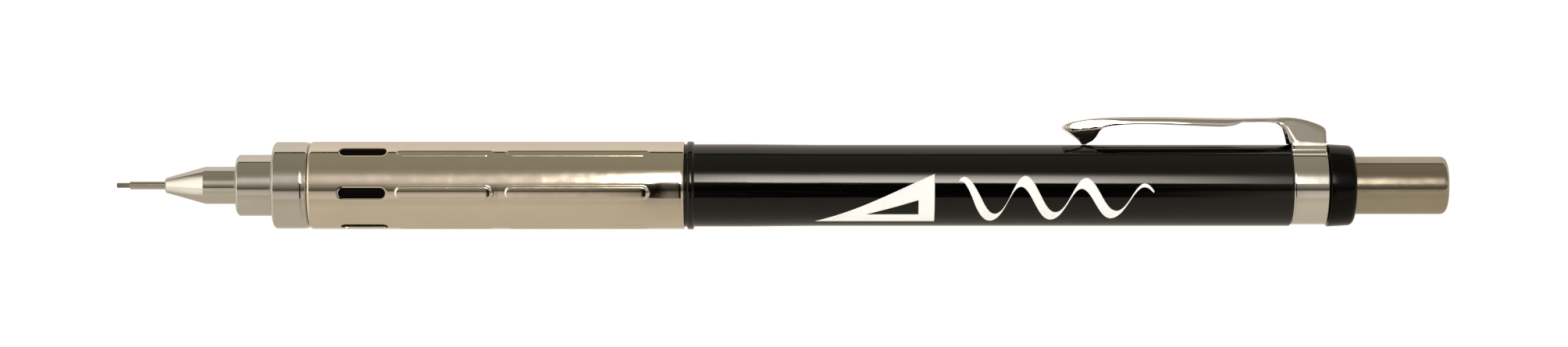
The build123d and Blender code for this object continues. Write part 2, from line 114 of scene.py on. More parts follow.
class HolderSizes(bpy.types.PropertyGroup):
    """Sizes that a maker of this lead holder would change."""

    turned_sides: IntProperty(
        name="Sides of a turned piece",
        description="How many flats stand for one full turn on the turned pieces", default=144,
        min=24,
    )
    sheet: FloatProperty(
        name="Sheet", description="Thickness of the sheet steel that the clip is stamped from",
        default=0.38 * MM, unit="LENGTH",
    )
    grip_wall: FloatProperty(
        name="Grip wall", description="Thickness of the grip's tube", default=0.41 * MM,
        unit="LENGTH",
    )
    grip_radius: FloatProperty(
        name="Grip radius", description="Outside radius of the grip between its ribs",
        default=4.96 * MM, unit="LENGTH",
    )
    rib_height: FloatProperty(
        name="Rib height", description="How far a pressed rib stands above the grip",
        default=0.15 * MM, unit="LENGTH",
    )
    rib_width: FloatProperty(
        name="Rib width", description="Width of a pressed rib halfway up its flank",
        default=1.5 * MM, unit="LENGTH",
    )
    slot_width: FloatProperty(
        name="Slot width", description="Width of a pierced slot, between its straight sides",
        default=1.23 * MM, unit="LENGTH",
    )
    first_row: FloatProperty(
        name="First row",
        description="Angle of the first row of slots and ribs, upwards from the front",
        default=math.radians(50.0), subtype="ANGLE",
    )
    print_height: FloatProperty(
        name="Print height", description="Height of the printed motif, measured round the barrel",
        default=6.2 * MM, unit="LENGTH",
    )
    print_angle: FloatProperty(
        name="Print angle", description="Angle of the motif's middle, upwards from the front",
        default=math.radians(-22.0), subtype="ANGLE",
    )


class HolderFinish(bpy.types.PropertyGroup):
    """Colours and finishes of the lead holder's materials."""

    nose_chrome: FloatVectorProperty(
        name="Nose chrome", description="Colour of the satin plating on the nose",
        default=(0.60, 0.585, 0.555), subtype="COLOR", min=0.0, max=1.0,
    )
    grip_nickel: FloatVectorProperty(
        name="Grip nickel", description="Colour of the warmer plating on the grip",
        default=(0.70, 0.64, 0.55), subtype="COLOR", min=0.0, max=1.0,
    )
    cap_nickel: FloatVectorProperty(
        name="Cap nickel", description="Colour of the darker plating on the push cap",
        default=(0.415, 0.37, 0.30), subtype="COLOR", min=0.0, max=1.0,
    )
    clip_chrome: FloatVectorProperty(
        name="Clip chrome", description="Colour of the bright plating on the clip and its band",
        default=(0.67, 0.66, 0.63), subtype="COLOR", min=0.0, max=1.0,
    )
    barrel_black: FloatVectorProperty(
        name="Barrel black", description="Colour of the moulded barrel and end collar",
        default=(0.001, 0.001, 0.0008), subtype="COLOR", min=0.0, max=1.0,
    )
    print_white: FloatVectorProperty(
        name="Print white", description="Colour of the printed motif", default=(0.95, 0.97, 1.0),
        subtype="COLOR", min=0.0, max=1.0,
    )
    light_tint: FloatVectorProperty(
        name="Light tint", description="Warmth of the studio light", default=(1.0, 0.93, 0.82),
        subtype="COLOR", min=0.0, max=1.0,
    )
    strip_strength: FloatProperty(
        name="Strip light", description="Strength of the strip light in front of the bench",
        default=17.0, min=0.0,
    )


# --- Materials ---
NODE_STEP = 250


def frame_nodes(tree, label, left, top, nodes):
    """Sets out nodes in a row from its left end, under one labelled frame."""
    group = tree.nodes.new("NodeFrame")
    group.label = label
    for place, node in enumerate(nodes):
        node.parent = group
        node.location = (left + NODE_STEP * place, top)


def plated_metal(name, colour, roughness, line_depth, line_spacing, cloud=0.12, smear=0.06):
    """Plated metal with turning lines round the axis, clouding and finger smears; sizes in metres."""
    material = bpy.data.materials.new(name)
    material.use_nodes = True
    tree = material.node_tree
    tree.nodes.clear()

    place = tree.nodes.new("ShaderNodeTexCoord")
    place.label = "Place on the piece"

    stretch = tree.nodes.new("ShaderNodeMapping")
    stretch.label = "Draw the lines round the axis"
    lines = tree.nodes.new("ShaderNodeTexNoise")
    lines.label = "Turning lines"
    relief = tree.nodes.new("ShaderNodeBump")
    relief.label = "Depth of the turning lines"
    frame_nodes(tree, "Turning lines", -1250, -300, (stretch, lines, relief))

    clouds = tree.nodes.new("ShaderNodeTexNoise")
    clouds.label = "Clouding of the plating"
    cloud_range = tree.nodes.new("ShaderNodeMapRange")
    cloud_range.label = "How strongly it clouds"
    tint = tree.nodes.new("ShaderNodeMix")
    tint.label = "Plating colour, clear to clouded"
    frame_nodes(tree, "Plating colour", -1250, 400, (clouds, cloud_range, tint))

    smears = tree.nodes.new("ShaderNodeTexNoise")
    smears.label = "Finger smears"
    smear_range = tree.nodes.new("ShaderNodeMapRange")
    smear_range.label = "Roughness where it was handled"
    frame_nodes(tree, "Handling", -1250, 50, (smears, smear_range))

    surface = tree.nodes.new("ShaderNodeBsdfPrincipled")
    surface.label = "Plated surface"
    output = tree.nodes.new("ShaderNodeOutputMaterial")
    output.label = "Metal"
    frame_nodes(tree, "Whole piece", -1550, 0, (place,))
    frame_nodes(tree, "Finish", -400, 100, (surface, output))

    stretch.inputs["Scale"].default_value = (1.0 / line_spacing, 40.0, 40.0)
    lines.inputs["Scale"].default_value = 1.0
    lines.inputs["Detail"].default_value = 3.0
    lines.inputs["Roughness"].default_value = 0.6
    relief.inputs["Strength"].default_value = 1.0
    relief.inputs["Distance"].default_value = line_depth
    clouds.inputs["Scale"].default_value = 260.0
    clouds.inputs["Detail"].default_value = 4.0
    cloud_range.inputs["From Min"].default_value = 0.35
    cloud_range.inputs["From Max"].default_value = 0.75
    cloud_range.inputs["To Max"].default_value = cloud
    tint.data_type = "RGBA"
    tint.inputs["A"].default_value = (*colour, 1.0)
    tint.inputs["B"].default_value = (colour[0] * 0.55, colour[1] * 0.5, colour[2] * 0.42, 1.0)
    smears.inputs["Scale"].default_value = 620.0
    smears.inputs["Detail"].default_value = 6.0
    smears.inputs["Distortion"].default_value = 0.6
    smear_range.inputs["From Min"].default_value = 0.4
    smear_range.inputs["From Max"].default_value = 0.7
    smear_range.inputs["To Min"].default_value = roughness
    smear_range.inputs["To Max"].default_value = roughness + smear
    surface.inputs["Metallic"].default_value = 1.0

    links = tree.links
    links.new(place.outputs["Object"], stretch.inputs["Vector"])
    links.new(stretch.outputs["Vector"], lines.inputs["Vector"])
    links.new(lines.outputs["Fac"], relief.inputs["Height"])
    links.new(relief.outputs["Normal"], surface.inputs["Normal"])
    links.new(place.outputs["Object"], clouds.inputs["Vector"])
    links.new(clouds.outputs["Fac"], cloud_range.inputs["Value"])
    links.new(cloud_range.outputs["Result"], tint.inputs["Factor"])
    links.new(tint.outputs["Result"], surface.inputs["Base Color"])
    links.new(place.outputs["Object"], smears.inputs["Vector"])
    links.new(smears.outputs["Fac"], smear_range.inputs["Value"])
    links.new(smear_range.outputs["Result"], surface.inputs["Roughness"])
    links.new(surface.outputs["BSDF"], output.inputs["Surface"])
    return material


def moulded_plastic(name, colour, roughness, ior, dust=0.05, flow=2e-6):
    """Moulded plastic with flow waves, hairline scratches that roughen it, and settled dust."""
    material = bpy.data.materials.new(name)
    material.use_nodes = True
    tree = material.node_tree
    tree.nodes.clear()

    place = tree.nodes.new("ShaderNodeTexCoord")
    place.label = "Place on the piece"

    specks = tree.nodes.new("ShaderNodeTexVoronoi")
    specks.label = "Dust specks"
    speck_edge = tree.nodes.new("ShaderNodeMapRange")
    speck_edge.label = "Size of a speck"
    dusted = tree.nodes.new("ShaderNodeMix")
    dusted.label = "Plastic, bare to dusty"
    frame_nodes(tree, "Dust", -1250, 400, (specks, speck_edge, dusted))

    hairs = tree.nodes.new("ShaderNodeMapping")
    hairs.label = "Draw the scratches lengthwise"
    scratches = tree.nodes.new("ShaderNodeTexNoise")
    scratches.label = "Hairline scratches"
    scratch_range = tree.nodes.new("ShaderNodeMapRange")
    scratch_range.label = "Roughness of a scratch"
    frame_nodes(tree, "Scratches", -1250, 50, (hairs, scratches, scratch_range))

    waves = tree.nodes.new("ShaderNodeTexNoise")
    waves.label = "Flow waves from the mould"
    relief = tree.nodes.new("ShaderNodeBump")
    relief.label = "Depth of the flow waves"
    frame_nodes(tree, "Mould", -1250, -300, (waves, relief))

    surface = tree.nodes.new("ShaderNodeBsdfPrincipled")
    surface.label = "Plastic surface"
    output = tree.nodes.new("ShaderNodeOutputMaterial")
    output.label = "Plastic"
    frame_nodes(tree, "Whole piece", -1550, 0, (place,))
    frame_nodes(tree, "Finish", -400, 100, (surface, output))

    specks.inputs["Scale"].default_value = 1500.0
    specks.inputs["Randomness"].default_value = 1.0
    speck_edge.inputs["From Min"].default_value = 0.07
    speck_edge.inputs["From Max"].default_value = 0.03
    speck_edge.inputs["To Max"].default_value = dust
    dusted.data_type = "RGBA"
    dusted.inputs["A"].default_value = (*colour, 1.0)
    dusted.inputs["B"].default_value = (0.55, 0.50, 0.42, 1.0)
    hairs.inputs["Scale"].default_value = (60.0, 9000.0, 9000.0)
    scratches.inputs["Scale"].default_value = 1.0
    scratches.inputs["Detail"].default_value = 3.0
    scratch_range.inputs["From Min"].default_value = 0.55
    scratch_range.inputs["From Max"].default_value = 0.75
    scratch_range.inputs["To Min"].default_value = roughness
    scratch_range.inputs["To Max"].default_value = roughness + 0.12
    waves.inputs["Scale"].default_value = 130.0
    waves.inputs["Detail"].default_value = 2.0
    relief.inputs["Strength"].default_value = 1.0
    relief.inputs["Distance"].default_value = flow
    surface.inputs["IOR"].default_value = ior

    links = tree.links
    links.new(place.outputs["Object"], specks.inputs["Vector"])
    links.new(specks.outputs["Distance"], speck_edge.inputs["Value"])
    links.new(speck_edge.outputs["Result"], dusted.inputs["Factor"])
    links.new(dusted.outputs["Result"], surface.inputs["Base Color"])
    links.new(place.outputs["Object"], hairs.inputs["Vector"])
    links.new(hairs.outputs["Vector"], scratches.inputs["Vector"])
    links.new(scratches.outputs["Fac"], scratch_range.inputs["Value"])
    links.new(scratch_range.outputs["Result"], surface.inputs["Roughness"])
    links.new(place.outputs["Object"], waves.inputs["Vector"])
    links.new(waves.outputs["Fac"], relief.inputs["Height"])
    links.new(relief.outputs["Normal"], surface.inputs["Normal"])
    links.new(surface.outputs["BSDF"], output.inputs["Surface"])
    return material


def grainy_solid(name, colour, spot_colour, roughness, grain_scale, grain_depth, sheen=0.0, painted_glow=0.0):
    """A dull solid with a fine grain, such as graphite, rubber or a printed film of ink; painted_glow adds
    a painted glow by emission.
    """
    material = bpy.data.materials.new(name)
    material.use_nodes = True
    tree = material.node_tree
    tree.nodes.clear()

    place = tree.nodes.new("ShaderNodeTexCoord")
    place.label = "Place on the piece"

    grain = tree.nodes.new("ShaderNodeTexNoise")
    grain.label = "Grain"
    relief = tree.nodes.new("ShaderNodeBump")
    relief.label = "Depth of the grain"
    frame_nodes(tree, "Grain", -1250, -200, (grain, relief))

    patches = tree.nodes.new("ShaderNodeTexNoise")
    patches.label = "Uneven patches"
    patch_edge = tree.nodes.new("ShaderNodeMapRange")
    patch_edge.label = "How much of it is patchy"
    shade = tree.nodes.new("ShaderNodeMix")
    shade.label = "Colour, clean to patchy"
    frame_nodes(tree, "Colour", -1250, 200, (patches, patch_edge, shade))

    surface = tree.nodes.new("ShaderNodeBsdfPrincipled")
    surface.label = "Dull surface"
    output = tree.nodes.new("ShaderNodeOutputMaterial")
    output.label = "Solid"
    frame_nodes(tree, "Whole piece", -1550, 0, (place,))
    frame_nodes(tree, "Finish", -400, 100, (surface, output))

    grain.inputs["Scale"].default_value = grain_scale
    grain.inputs["Detail"].default_value = 5.0
    relief.inputs["Strength"].default_value = 1.0
    relief.inputs["Distance"].default_value = grain_depth
    patches.inputs["Scale"].default_value = grain_scale / 6.0
    patches.inputs["Detail"].default_value = 3.0
    patch_edge.inputs["From Min"].default_value = 0.45
    patch_edge.inputs["From Max"].default_value = 0.75
    shade.data_type = "RGBA"
    shade.inputs["A"].default_value = (*colour, 1.0)
    shade.inputs["B"].default_value = (*spot_colour, 1.0)
    surface.inputs["Roughness"].default_value = roughness
    surface.inputs["Sheen Weight"].default_value = sheen
    # Emission paints a glow into the solid that no lamp gives it.
    surface.inputs["Emission Color"].default_value = (*colour, 1.0)
    surface.inputs["Emission Strength"].default_value = painted_glow

    links = tree.links
    links.new(place.outputs["Object"], grain.inputs["Vector"])
    links.new(grain.outputs["Fac"], relief.inputs["Height"])
    links.new(relief.outputs["Normal"], surface.inputs["Normal"])
    links.new(place.outputs["Object"], patches.inputs["Vector"])
    links.new(patches.outputs["Fac"], patch_edge.inputs["Value"])
    links.new(patch_edge.outputs["Result"], shade.inputs["Factor"])
    links.new(shade.outputs["Result"], surface.inputs["Base Color"])
    links.new(surface.outputs["BSDF"], output.inputs["Surface"])
    return material


def floor_material():
    """A plain pale board that keeps a soft shadow under the holder."""
    material = bpy.data.materials.new("pale_board")
    material.use_nodes = True
    tree = material.node_tree
    tree.nodes.clear()
    surface = tree.nodes.new("ShaderNodeBsdfPrincipled")
    surface.label = "Pale board"
    output = tree.nodes.new("ShaderNodeOutputMaterial")
    output.label = "Floor"
    frame_nodes(tree, "Board", 0, 0, (surface, output))
    surface.inputs["Base Color"].default_value = (0.5, 0.5, 0.5, 1.0)
    surface.inputs["Roughness"].default_value = 0.9
    surface.inputs["Emission Color"].default_value = (1.0, 1.0, 1.0, 1.0)
    surface.inputs["Emission Strength"].default_value = 0.86
    tree.links.new(surface.outputs["BSDF"], output.inputs["Surface"])
    return material


# --- Mesh helpers ---
def finish_piece(name, shape, material, sharp_angle=40.0):
    """Turns a bmesh into an object whose curved faces shade smoothly."""
    mesh = bpy.data.meshes.new(name)
    shape.to_mesh(mesh)
    shape.free()
    mesh.shade_smooth()
    mesh.set_sharp_from_angle(angle=math.radians(sharp_angle))
    mesh.materials.append(material)
    piece = bpy.data.objects.new(name, mesh)
    bpy.context.scene.collection.objects.link(piece)
    return piece


def even_shading(piece):
    """Lets large faces keep flat shading where small rounding faces meet them."""
    normals = piece.modifiers.new("even_shading", "WEIGHTED_NORMAL")
    normals.mode = "FACE_AREA"
    normals.keep_sharp = True


def on_tube(x, angle, radius):
    """A point on a tube about the X axis: angle in degrees upwards from the front, sizes in millimetres."""
    turn = math.radians(angle)
    return Vector((x, -radius * math.cos(turn), radius * math.sin(turn))) * MM


def rounded(corners, steps=5):
    """Points of a closed outline whose corners, given as (X, radius, rounding), are rounded."""
    outline = []
    for index, (x, radius, rounding) in enumerate(corners):
        here = Vector((x, radius))
        if rounding == 0:
            outline.append((x, radius))
            continue
        back = (Vector(corners[index - 1][:2]) - here).normalized()
        ahead = (Vector(corners[(index + 1) % len(corners)][:2]) - here).normalized()
        half = back.angle(ahead) / 2
        centre = here + (back + ahead).normalized() * rounding / math.sin(half)
        first = here + back * rounding / math.tan(half) - centre
        last = here + ahead * rounding / math.tan(half) - centre
        sweep = math.pi - 2 * half
        for step in range(steps + 1):
            share = step / steps
            arm = first * math.sin((1 - share) * sweep) + last * math.sin(share * sweep)
            point = centre + arm / math.sin(sweep)
            outline.append((point.x, point.y))
    return outline


def turned_piece(name, corners, material, body, replaced):
    """A lathe-turned piece: a closed outline of (X, radius, rounding) corners swept round the axis."""
    sides = bpy.context.scene.holder_sizes.turned_sides
    shape = bmesh.new()
    rings = []
    for x, radius in rounded(corners):
        if radius < 1e-6:
            rings.append([shape.verts.new((x * MM, 0, 0))])
        else:
            rings.append([shape.verts.new(on_tube(x, 360 * k / sides, radius)) for k in range(sides)])
    for ring, after in zip(rings, rings[1:] + rings[:1]):
        if len(ring) == 1 and len(after) == 1:
            continue
        for k in range(sides):
            n = (k + 1) % sides
            loop = (ring[k % len(ring)], ring[n % len(ring)], after[n % len(after)], after[k % len(after)])
            shape.faces.new(dict.fromkeys(loop))
    bmesh.ops.recalc_face_normals(shape, faces=shape.faces)
    piece = finish_piece(name, shape, material)
    even_shading(piece)
    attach(piece, body)
    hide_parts(replaced)
    return piece


def skin(shape, rows, closed=False):
    """Faces between neighbouring rows of vertices; closed rows are rings."""
    for row, after in zip(rows, rows[1:]):
        count = len(row)
        for k in range(count if closed else count - 1):
            n = (k + 1) % count
            shape.faces.new((row[k], row[n], after[n], after[k]))


def sheet_wall(piece, thickness, rim):
    """Thickens a skin inwards and rounds the edges of its rims."""
    wall = piece.modifiers.new("sheet", "SOLIDIFY")
    wall.thickness = thickness
    wall.offset = -1.0
    rims = piece.modifiers.new("soft_rims", "BEVEL")
    rims.width = rim
    rims.segments = 2
    rims.angle_limit = math.radians(55.0)


def smooth_path(points, steps):
    """Points along a smooth line through the given vectors."""
    path = []
    last = len(points) - 1
    for index in range(last):
        before = points[max(index - 1, 0)]
        here = points[index]
        after = points[index + 1]
        beyond = points[min(index + 2, last)]
        for step in range(steps):
            t = step / steps
            slope = (after - before) * t
            bend = (2 * before - 5 * here + 4 * after - beyond) * t * t
            twist = (3 * here - before - 3 * after + beyond) * t * t * t
            path.append((2 * here + slope + bend + twist) / 2)
    path.append(points[last])
    return path


def ease(value):
    """A smooth rise from 0 to 1."""
    t = min(max(value, 0.0), 1.0)
    return t * t * (3 - 2 * t)


def places(spans):
    """Positions along consecutive (start, end, step) spans, with every start and end kept."""
    found = []
    for start, end, step in spans:
        count = max(1, math.ceil((end - start) / step - 1e-6))
        found += [start + (end - start) * k / count for k in range(count)]
    found.append(spans[-1][1])
    return found


# --- Turned pieces ---
# Closed outlines of the turned pieces: (X, radius, rounding of the corner).
LEAD_OUTLINE = (
    (LEAD_FRONT, 0, 0),
    (LEAD_FRONT, LEAD_R, 0.07),
    (LEAD_BACK, LEAD_R, 0.02),
    (LEAD_BACK, 0, 0),
)
PIPE_OUTLINE = (
    (PIPE_FRONT, PIPE_BORE_R, 0.04),
    (PIPE_FRONT, PIPE_R, 0.06),
    (PIPE_SEAT_X, PIPE_R, 0),
    (PIPE_SEAT_X, PIPE_ROOT_R, 0),
    (PIPE_BACK, PIPE_ROOT_R, 0.05),
    (PIPE_BACK, PIPE_R, 0),
    (PIPE_BACK - 0.5, PIPE_BORE_R, 0),
)
NOSE_OUTLINE = (
    (NOSE_FRONT, PIPE_R, 0.03),
    (NOSE_FRONT, 0.83, 0.25),
    (CONE_BACK, NECK_R, 0.5),
    (STEP_FRONT, NECK_R, 0.12),
    (STEP_FRONT, STEP_R, 0.4),
    (LIP_FRONT, STEP_R, 0.12),
    (LIP_FRONT, NOSE_R, 0.4),
    (19.77, NOSE_R, 2.0),
    (20.27, NOSE_R - 0.07, 0.1),
    (NOSE_BACK, 4.66, 0),
    (NOSE_BACK, THREAD_R, 0),
    (16.9, THREAD_R, 0),
    (16.9, 2.45, 0),
    (13.75, 2.45, 0),
    (13.75, 1.75, 0),
    (10.15, 1.75, 0),
    (10.15, 1.35, 0),
    (8.2, 1.35, 0),
    (8.2, PIPE_ROOT_R, 0),
    (PIPE_SEAT_X, PIPE_ROOT_R, 0),
    (PIPE_SEAT_X, PIPE_R, 0),
)
BARREL_OUTLINE = (
    (BARREL_FRONT, THREAD_R, 0),
    (BARREL_FRONT, 4.7, 0.02),
    (BEAD_FRONT, 4.7, 0),
    (BEAD_FRONT, BEAD_R, 0.25),
    (BEAD_BACK, BEAD_R, 0.25),
    (BEAD_BACK, BARREL_FRONT_R, 0.04),
    (70.0, BARREL_FRONT_R, 20.0),
    (78.0, BARREL_R, 20.0),
    (BARREL_BACK, BARREL_R, 0.12),
    (BARREL_BACK, BAND_SEAT_R, 0),
    (124.5, BAND_SEAT_R, 0),
    (124.5, BARREL_BORE_R, 0),
    (71.5, BARREL_BORE_R, 0),
    (71.5, THREAD_R, 0),
)
COLLAR_OUTLINE = (
    (COLLAR_FRONT, COLLAR_BORE_R, 0.05),
    (COLLAR_FRONT, BAND_SEAT_R - 0.2, 0),
    (COLLAR_FRONT + 0.2, BAND_SEAT_R, 0),
    (BAND_END, BAND_SEAT_R, 0.05),
    (BAND_END, COLLAR_R, 0.15),
    (COLLAR_BACK, 4.52, 0.7),
    (COLLAR_BACK, COLLAR_BORE_R, 0.1),
)
CAP_OUTLINE = (
    (CAP_FRONT, CAP_BORE_R, 0.05),
    (CAP_FRONT, CAP_R, 0.1),
    (CAP_BACK, CAP_R, 0.7),
    (CAP_BACK, 0, 0),
    (CAP_BACK - CAP_END_WALL, 0, 0),
    (CAP_BACK - CAP_END_WALL, CAP_BORE_R - 0.4, 0),
    (CAP_BACK - CAP_END_WALL - 0.4, CAP_BORE_R, 0),
)


class HOLDER_OT_lead_and_pipe(bpy.types.Operator):
    """Build the lead and the guide pipe that carries it"""

    bl_idname = "holder.lead_and_pipe"
    bl_label = "Lead and Guide Pipe"

    def execute(self, context):
        graphite = grainy_solid("graphite", (0.16, 0.15, 0.135), (0.23, 0.215, 0.195), 0.4, 5200.0, 4e-6)
        steel = plated_metal("pipe_steel", (0.50, 0.47, 0.42), 0.14, 3e-7, 6e-5)
        turned_piece("lead_core", LEAD_OUTLINE, graphite, "lead", "lead")
        turned_piece("guide_pipe_tube", PIPE_OUTLINE, steel, "barrel", "guide_pipe")
        return {"FINISHED"}


class HOLDER_OT_nose(bpy.types.Operator):
    """Build the stepped nose that screws on to the grip"""

    bl_idname = "holder.nose"
    bl_label = "Nose"

    def execute(self, context):
        finish = context.scene.holder_finish
        chrome = plated_metal("nose_chrome", finish.nose_chrome, 0.07, 6e-7, 7e-5)
        turned_piece("nose_turned", NOSE_OUTLINE, chrome, "barrel", "nose")
        return {"FINISHED"}


class HOLDER_OT_barrel(bpy.types.Operator):
    """Build the moulded barrel with the bead that meets the grip"""

    bl_idname = "holder.barrel"
    bl_label = "Barrel"

    def execute(self, context):
        finish = context.scene.holder_finish
        black = moulded_plastic("barrel_black", finish.barrel_black, roughness=0.075, ior=1.45)
        turned_piece("barrel_moulded", BARREL_OUTLINE, black, "barrel", "barrel")
        return {"FINISHED"}


class HOLDER_OT_end_collar(bpy.types.Operator):
    """Build the end collar that clamps the clip's band"""

    bl_idname = "holder.end_collar"
    bl_label = "End Collar"

    def execute(self, context):
        finish = context.scene.holder_finish
        black = moulded_plastic("collar_black", finish.barrel_black, roughness=0.15, ior=1.24)
        turned_piece("end_collar_moulded", COLLAR_OUTLINE, black, "barrel", "end_collar")
        return {"FINISHED"}


class HOLDER_OT_push_cap(bpy.types.Operator):
    """Build the deep-drawn push cap"""

    bl_idname = "holder.push_cap"
    bl_label = "Push Cap"

    def execute(self, context):
        finish = context.scene.holder_finish
        nickel = plated_metal("cap_nickel", finish.cap_nickel, 0.12, 6e-7, 9e-5, cloud=0.2, smear=0.05)
        turned_piece("push_cap_drawn", CAP_OUTLINE, nickel, "push_cap", "push_cap")
        return {"FINISHED"}


# --- Grip ---
ROWS = 6
# How far the tube's ends roll in, along X and inwards.
FRONT_ROLL = 0.5
FRONT_ROLL_DEPTH = 0.26
BACK_ROLL = 0.1
SLOT_START = 24.08
SLOT_END = 29.38
# Pressed ribs from end to end, then their flank, crown and the swelling of the skin beside them.
RIBS = ((30.5, 41.3), (42.84, 58.85))
RIB_FLANK = 0.13
RIB_DOME = 0.035
HALO = 0.02
HALO_REACH = 0.9
SLOT_ROLL = 0.03
SLOT_ROLL_REACH = 0.1
# A slot is let into the skin inside a square opening, given by its ends and its half angle.
OPENING_START = SLOT_START - 0.25
OPENING_END = SLOT_END + 0.25
OPENING_ANGLE = 9.9
SLOT_RING_SHARES = (0.35, 0.62, 0.82, 0.93, 1.0)
# Marks that the pressing die leaves round the tube: (X, width, height).
DIE_MARKS = ((29.95, 0.4, -0.004), (42.25, 0.6, 0.004))
# Stations along the grip and turns to each side of a row, closer together where the skin bends.
STATIONS = (
    (GRIP_FRONT, GRIP_FRONT + FRONT_ROLL, 0.07),
    (GRIP_FRONT + FRONT_ROLL, 22.6, 0.5),
    (22.6, OPENING_START, 0.3),
    (OPENING_START, OPENING_END, 0.11),
    (OPENING_END, 32.0, 0.11),
    (32.0, 40.4, 0.6),
    (40.4, 44.2, 0.11),
    (44.2, 58.0, 0.6),
    (58.0, 60.8, 0.11),
    (60.8, GRIP_BACK - BACK_ROLL, 0.5),
    (GRIP_BACK - BACK_ROLL, GRIP_BACK, 0.03),
)
HALF_ROW = 180.0 / ROWS
TURNS = (
    (-HALF_ROW, -12.0, 3.0),
    (-12.0, -OPENING_ANGLE, 0.6),
    (-OPENING_ANGLE, OPENING_ANGLE, 0.55),
    (OPENING_ANGLE, 12.0, 0.6),
    (12.0, HALF_ROW, 3.0),
)
NEARLY = 1e-6


class HOLDER_OT_grip(bpy.types.Operator):
    """Build the grip: a plated tube with six rows of a pierced slot and two pressed ribs"""

    bl_idname = "holder.grip"
    bl_label = "Grip"

    def slot_middle(self, x):
        """The nearest point to this X on the slot's middle line, between its round ends."""
        half = self.slot_width / 2
        return min(max(x, SLOT_START + half), SLOT_END - half)

    def height(self, x, across):
        """The skin's radius at this X and at this distance across from a row's middle."""
        radius = self.radius
        if x < GRIP_FRONT + FRONT_ROLL:
            roll = (GRIP_FRONT + FRONT_ROLL - x) / FRONT_ROLL
            radius -= FRONT_ROLL_DEPTH * (1 - math.sqrt(1 - roll * roll))
        if x > GRIP_BACK - BACK_ROLL:
            radius -= BACK_ROLL * ((x - GRIP_BACK + BACK_ROLL) / BACK_ROLL) ** 2
        lift = 0.0
        half = self.rib_width / 2
        for start, end in RIBS:
            middle = min(max(x, start + half), end - half)
            away = math.hypot(x - middle, across)
            top = ease((half + RIB_FLANK - away) / (2 * RIB_FLANK))
            swell = HALO * math.exp(-((max(away - half, 0) / HALO_REACH) ** 2))
            crown = self.rib_height - RIB_DOME * min(away / half, 1.0) ** 2
            lift = max(lift, swell + (crown - swell) * top)
        for mark, width, depth in DIE_MARKS:
            lift += depth * math.exp(-(((x - mark) / width) ** 2)) * (lift < HALO)
        half = self.slot_width / 2
        rim = math.hypot(x - self.slot_middle(x), across) - half
        lift -= SLOT_ROLL * math.exp(-((max(rim, 0) / SLOT_ROLL_REACH) ** 2))
        return radius + min(lift, self.rib_height)

    def point(self, shape, x, row, offset):
        """A vertex of the skin at this X, turned by offset degrees from a row."""
        across = math.radians(offset) * self.radius
        return shape.verts.new(on_tube(x, row + offset, self.height(x, across)))

    def frame_slot(self, shape, border, row):
        """Fills the space between a square opening in the skin and the slot's own outline."""
        half = self.slot_width / 2
        rings = [[vertex for vertex, x, offset in border]]
        for share in SLOT_RING_SHARES:
            ring = []
            for vertex, x, offset in border:
                across = math.radians(offset) * self.radius
                middle = self.slot_middle(x)
                spoke = Vector((x - middle, across))
                edge = spoke.normalized() * half
                spot = spoke.lerp(edge, share)
                turn = math.degrees(spot.y / self.radius)
                ring.append(self.point(shape, middle + spot.x, row, turn))
            rings.append(ring)
        skin(shape, rings, closed=True)

    def execute(self, context):
        sizes = context.scene.holder_sizes
        finish = context.scene.holder_finish
        self.radius = sizes.grip_radius / MM
        self.rib_height = sizes.rib_height / MM
        self.rib_width = sizes.rib_width / MM
        self.slot_width = sizes.slot_width / MM
        stations = places(STATIONS)
        turns = places(TURNS)[:-1]
        shape = bmesh.new()
        rows = [math.degrees(sizes.first_row) + 2 * HALF_ROW * k for k in range(ROWS)]
        columns = [(row, offset) for row in rows for offset in turns]
        grid = [[self.point(shape, x, row, offset) for row, offset in columns] for x in stations]
        open_x = [OPENING_START - NEARLY < x < OPENING_END + NEARLY for x in stations]
        open_turn = [abs(offset) < OPENING_ANGLE + NEARLY for row, offset in columns]
        inside = []
        for i in range(len(stations) - 1):
            for j in range(len(columns)):
                n = (j + 1) % len(columns)
                if open_x[i] and open_x[i + 1] and open_turn[j] and open_turn[n]:
                    continue
                shape.faces.new((grid[i][j], grid[i][n], grid[i + 1][n], grid[i + 1][j]))
        first = open_x.index(True)
        last = first + sum(open_x) - 1
        for row in rows:
            inner = [j for j, (its_row, offset) in enumerate(columns) if its_row == row and open_turn[j]]
            near, far = inner[0], inner[-1]
            path = [(first, j) for j in inner]
            path += [(i, far) for i in range(first + 1, last + 1)]
            path += [(last, j) for j in reversed(inner[:-1])]
            path += [(i, near) for i in range(last - 1, first, -1)]
            border = [(grid[i][j], stations[i], columns[j][1]) for i, j in path]
            self.frame_slot(shape, border, row)
            inside += [grid[i][j] for i in range(first + 1, last) for j in inner[1:-1]]
        bmesh.ops.delete(shape, geom=inside, context="VERTS")
        bmesh.ops.recalc_face_normals(shape, faces=shape.faces)
        shape.faces.ensure_lookup_table()
        face = shape.faces[0]
        if face.normal.dot(face.calc_center_median() * Vector((0, 1, 1))) < 0:
            bmesh.ops.reverse_faces(shape, faces=shape.faces)
        nickel = plated_metal("grip_nickel", finish.grip_nickel, 0.07, 2.5e-7, 8e-5, cloud=0.1, smear=0.04)
        piece = finish_piece("grip_tube", shape, nickel, 180.0)
        sheet_wall(piece, sizes.grip_wall, 0.03 * MM)
        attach(piece, "barrel")
        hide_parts("grip")
        return {"FINISHED"}


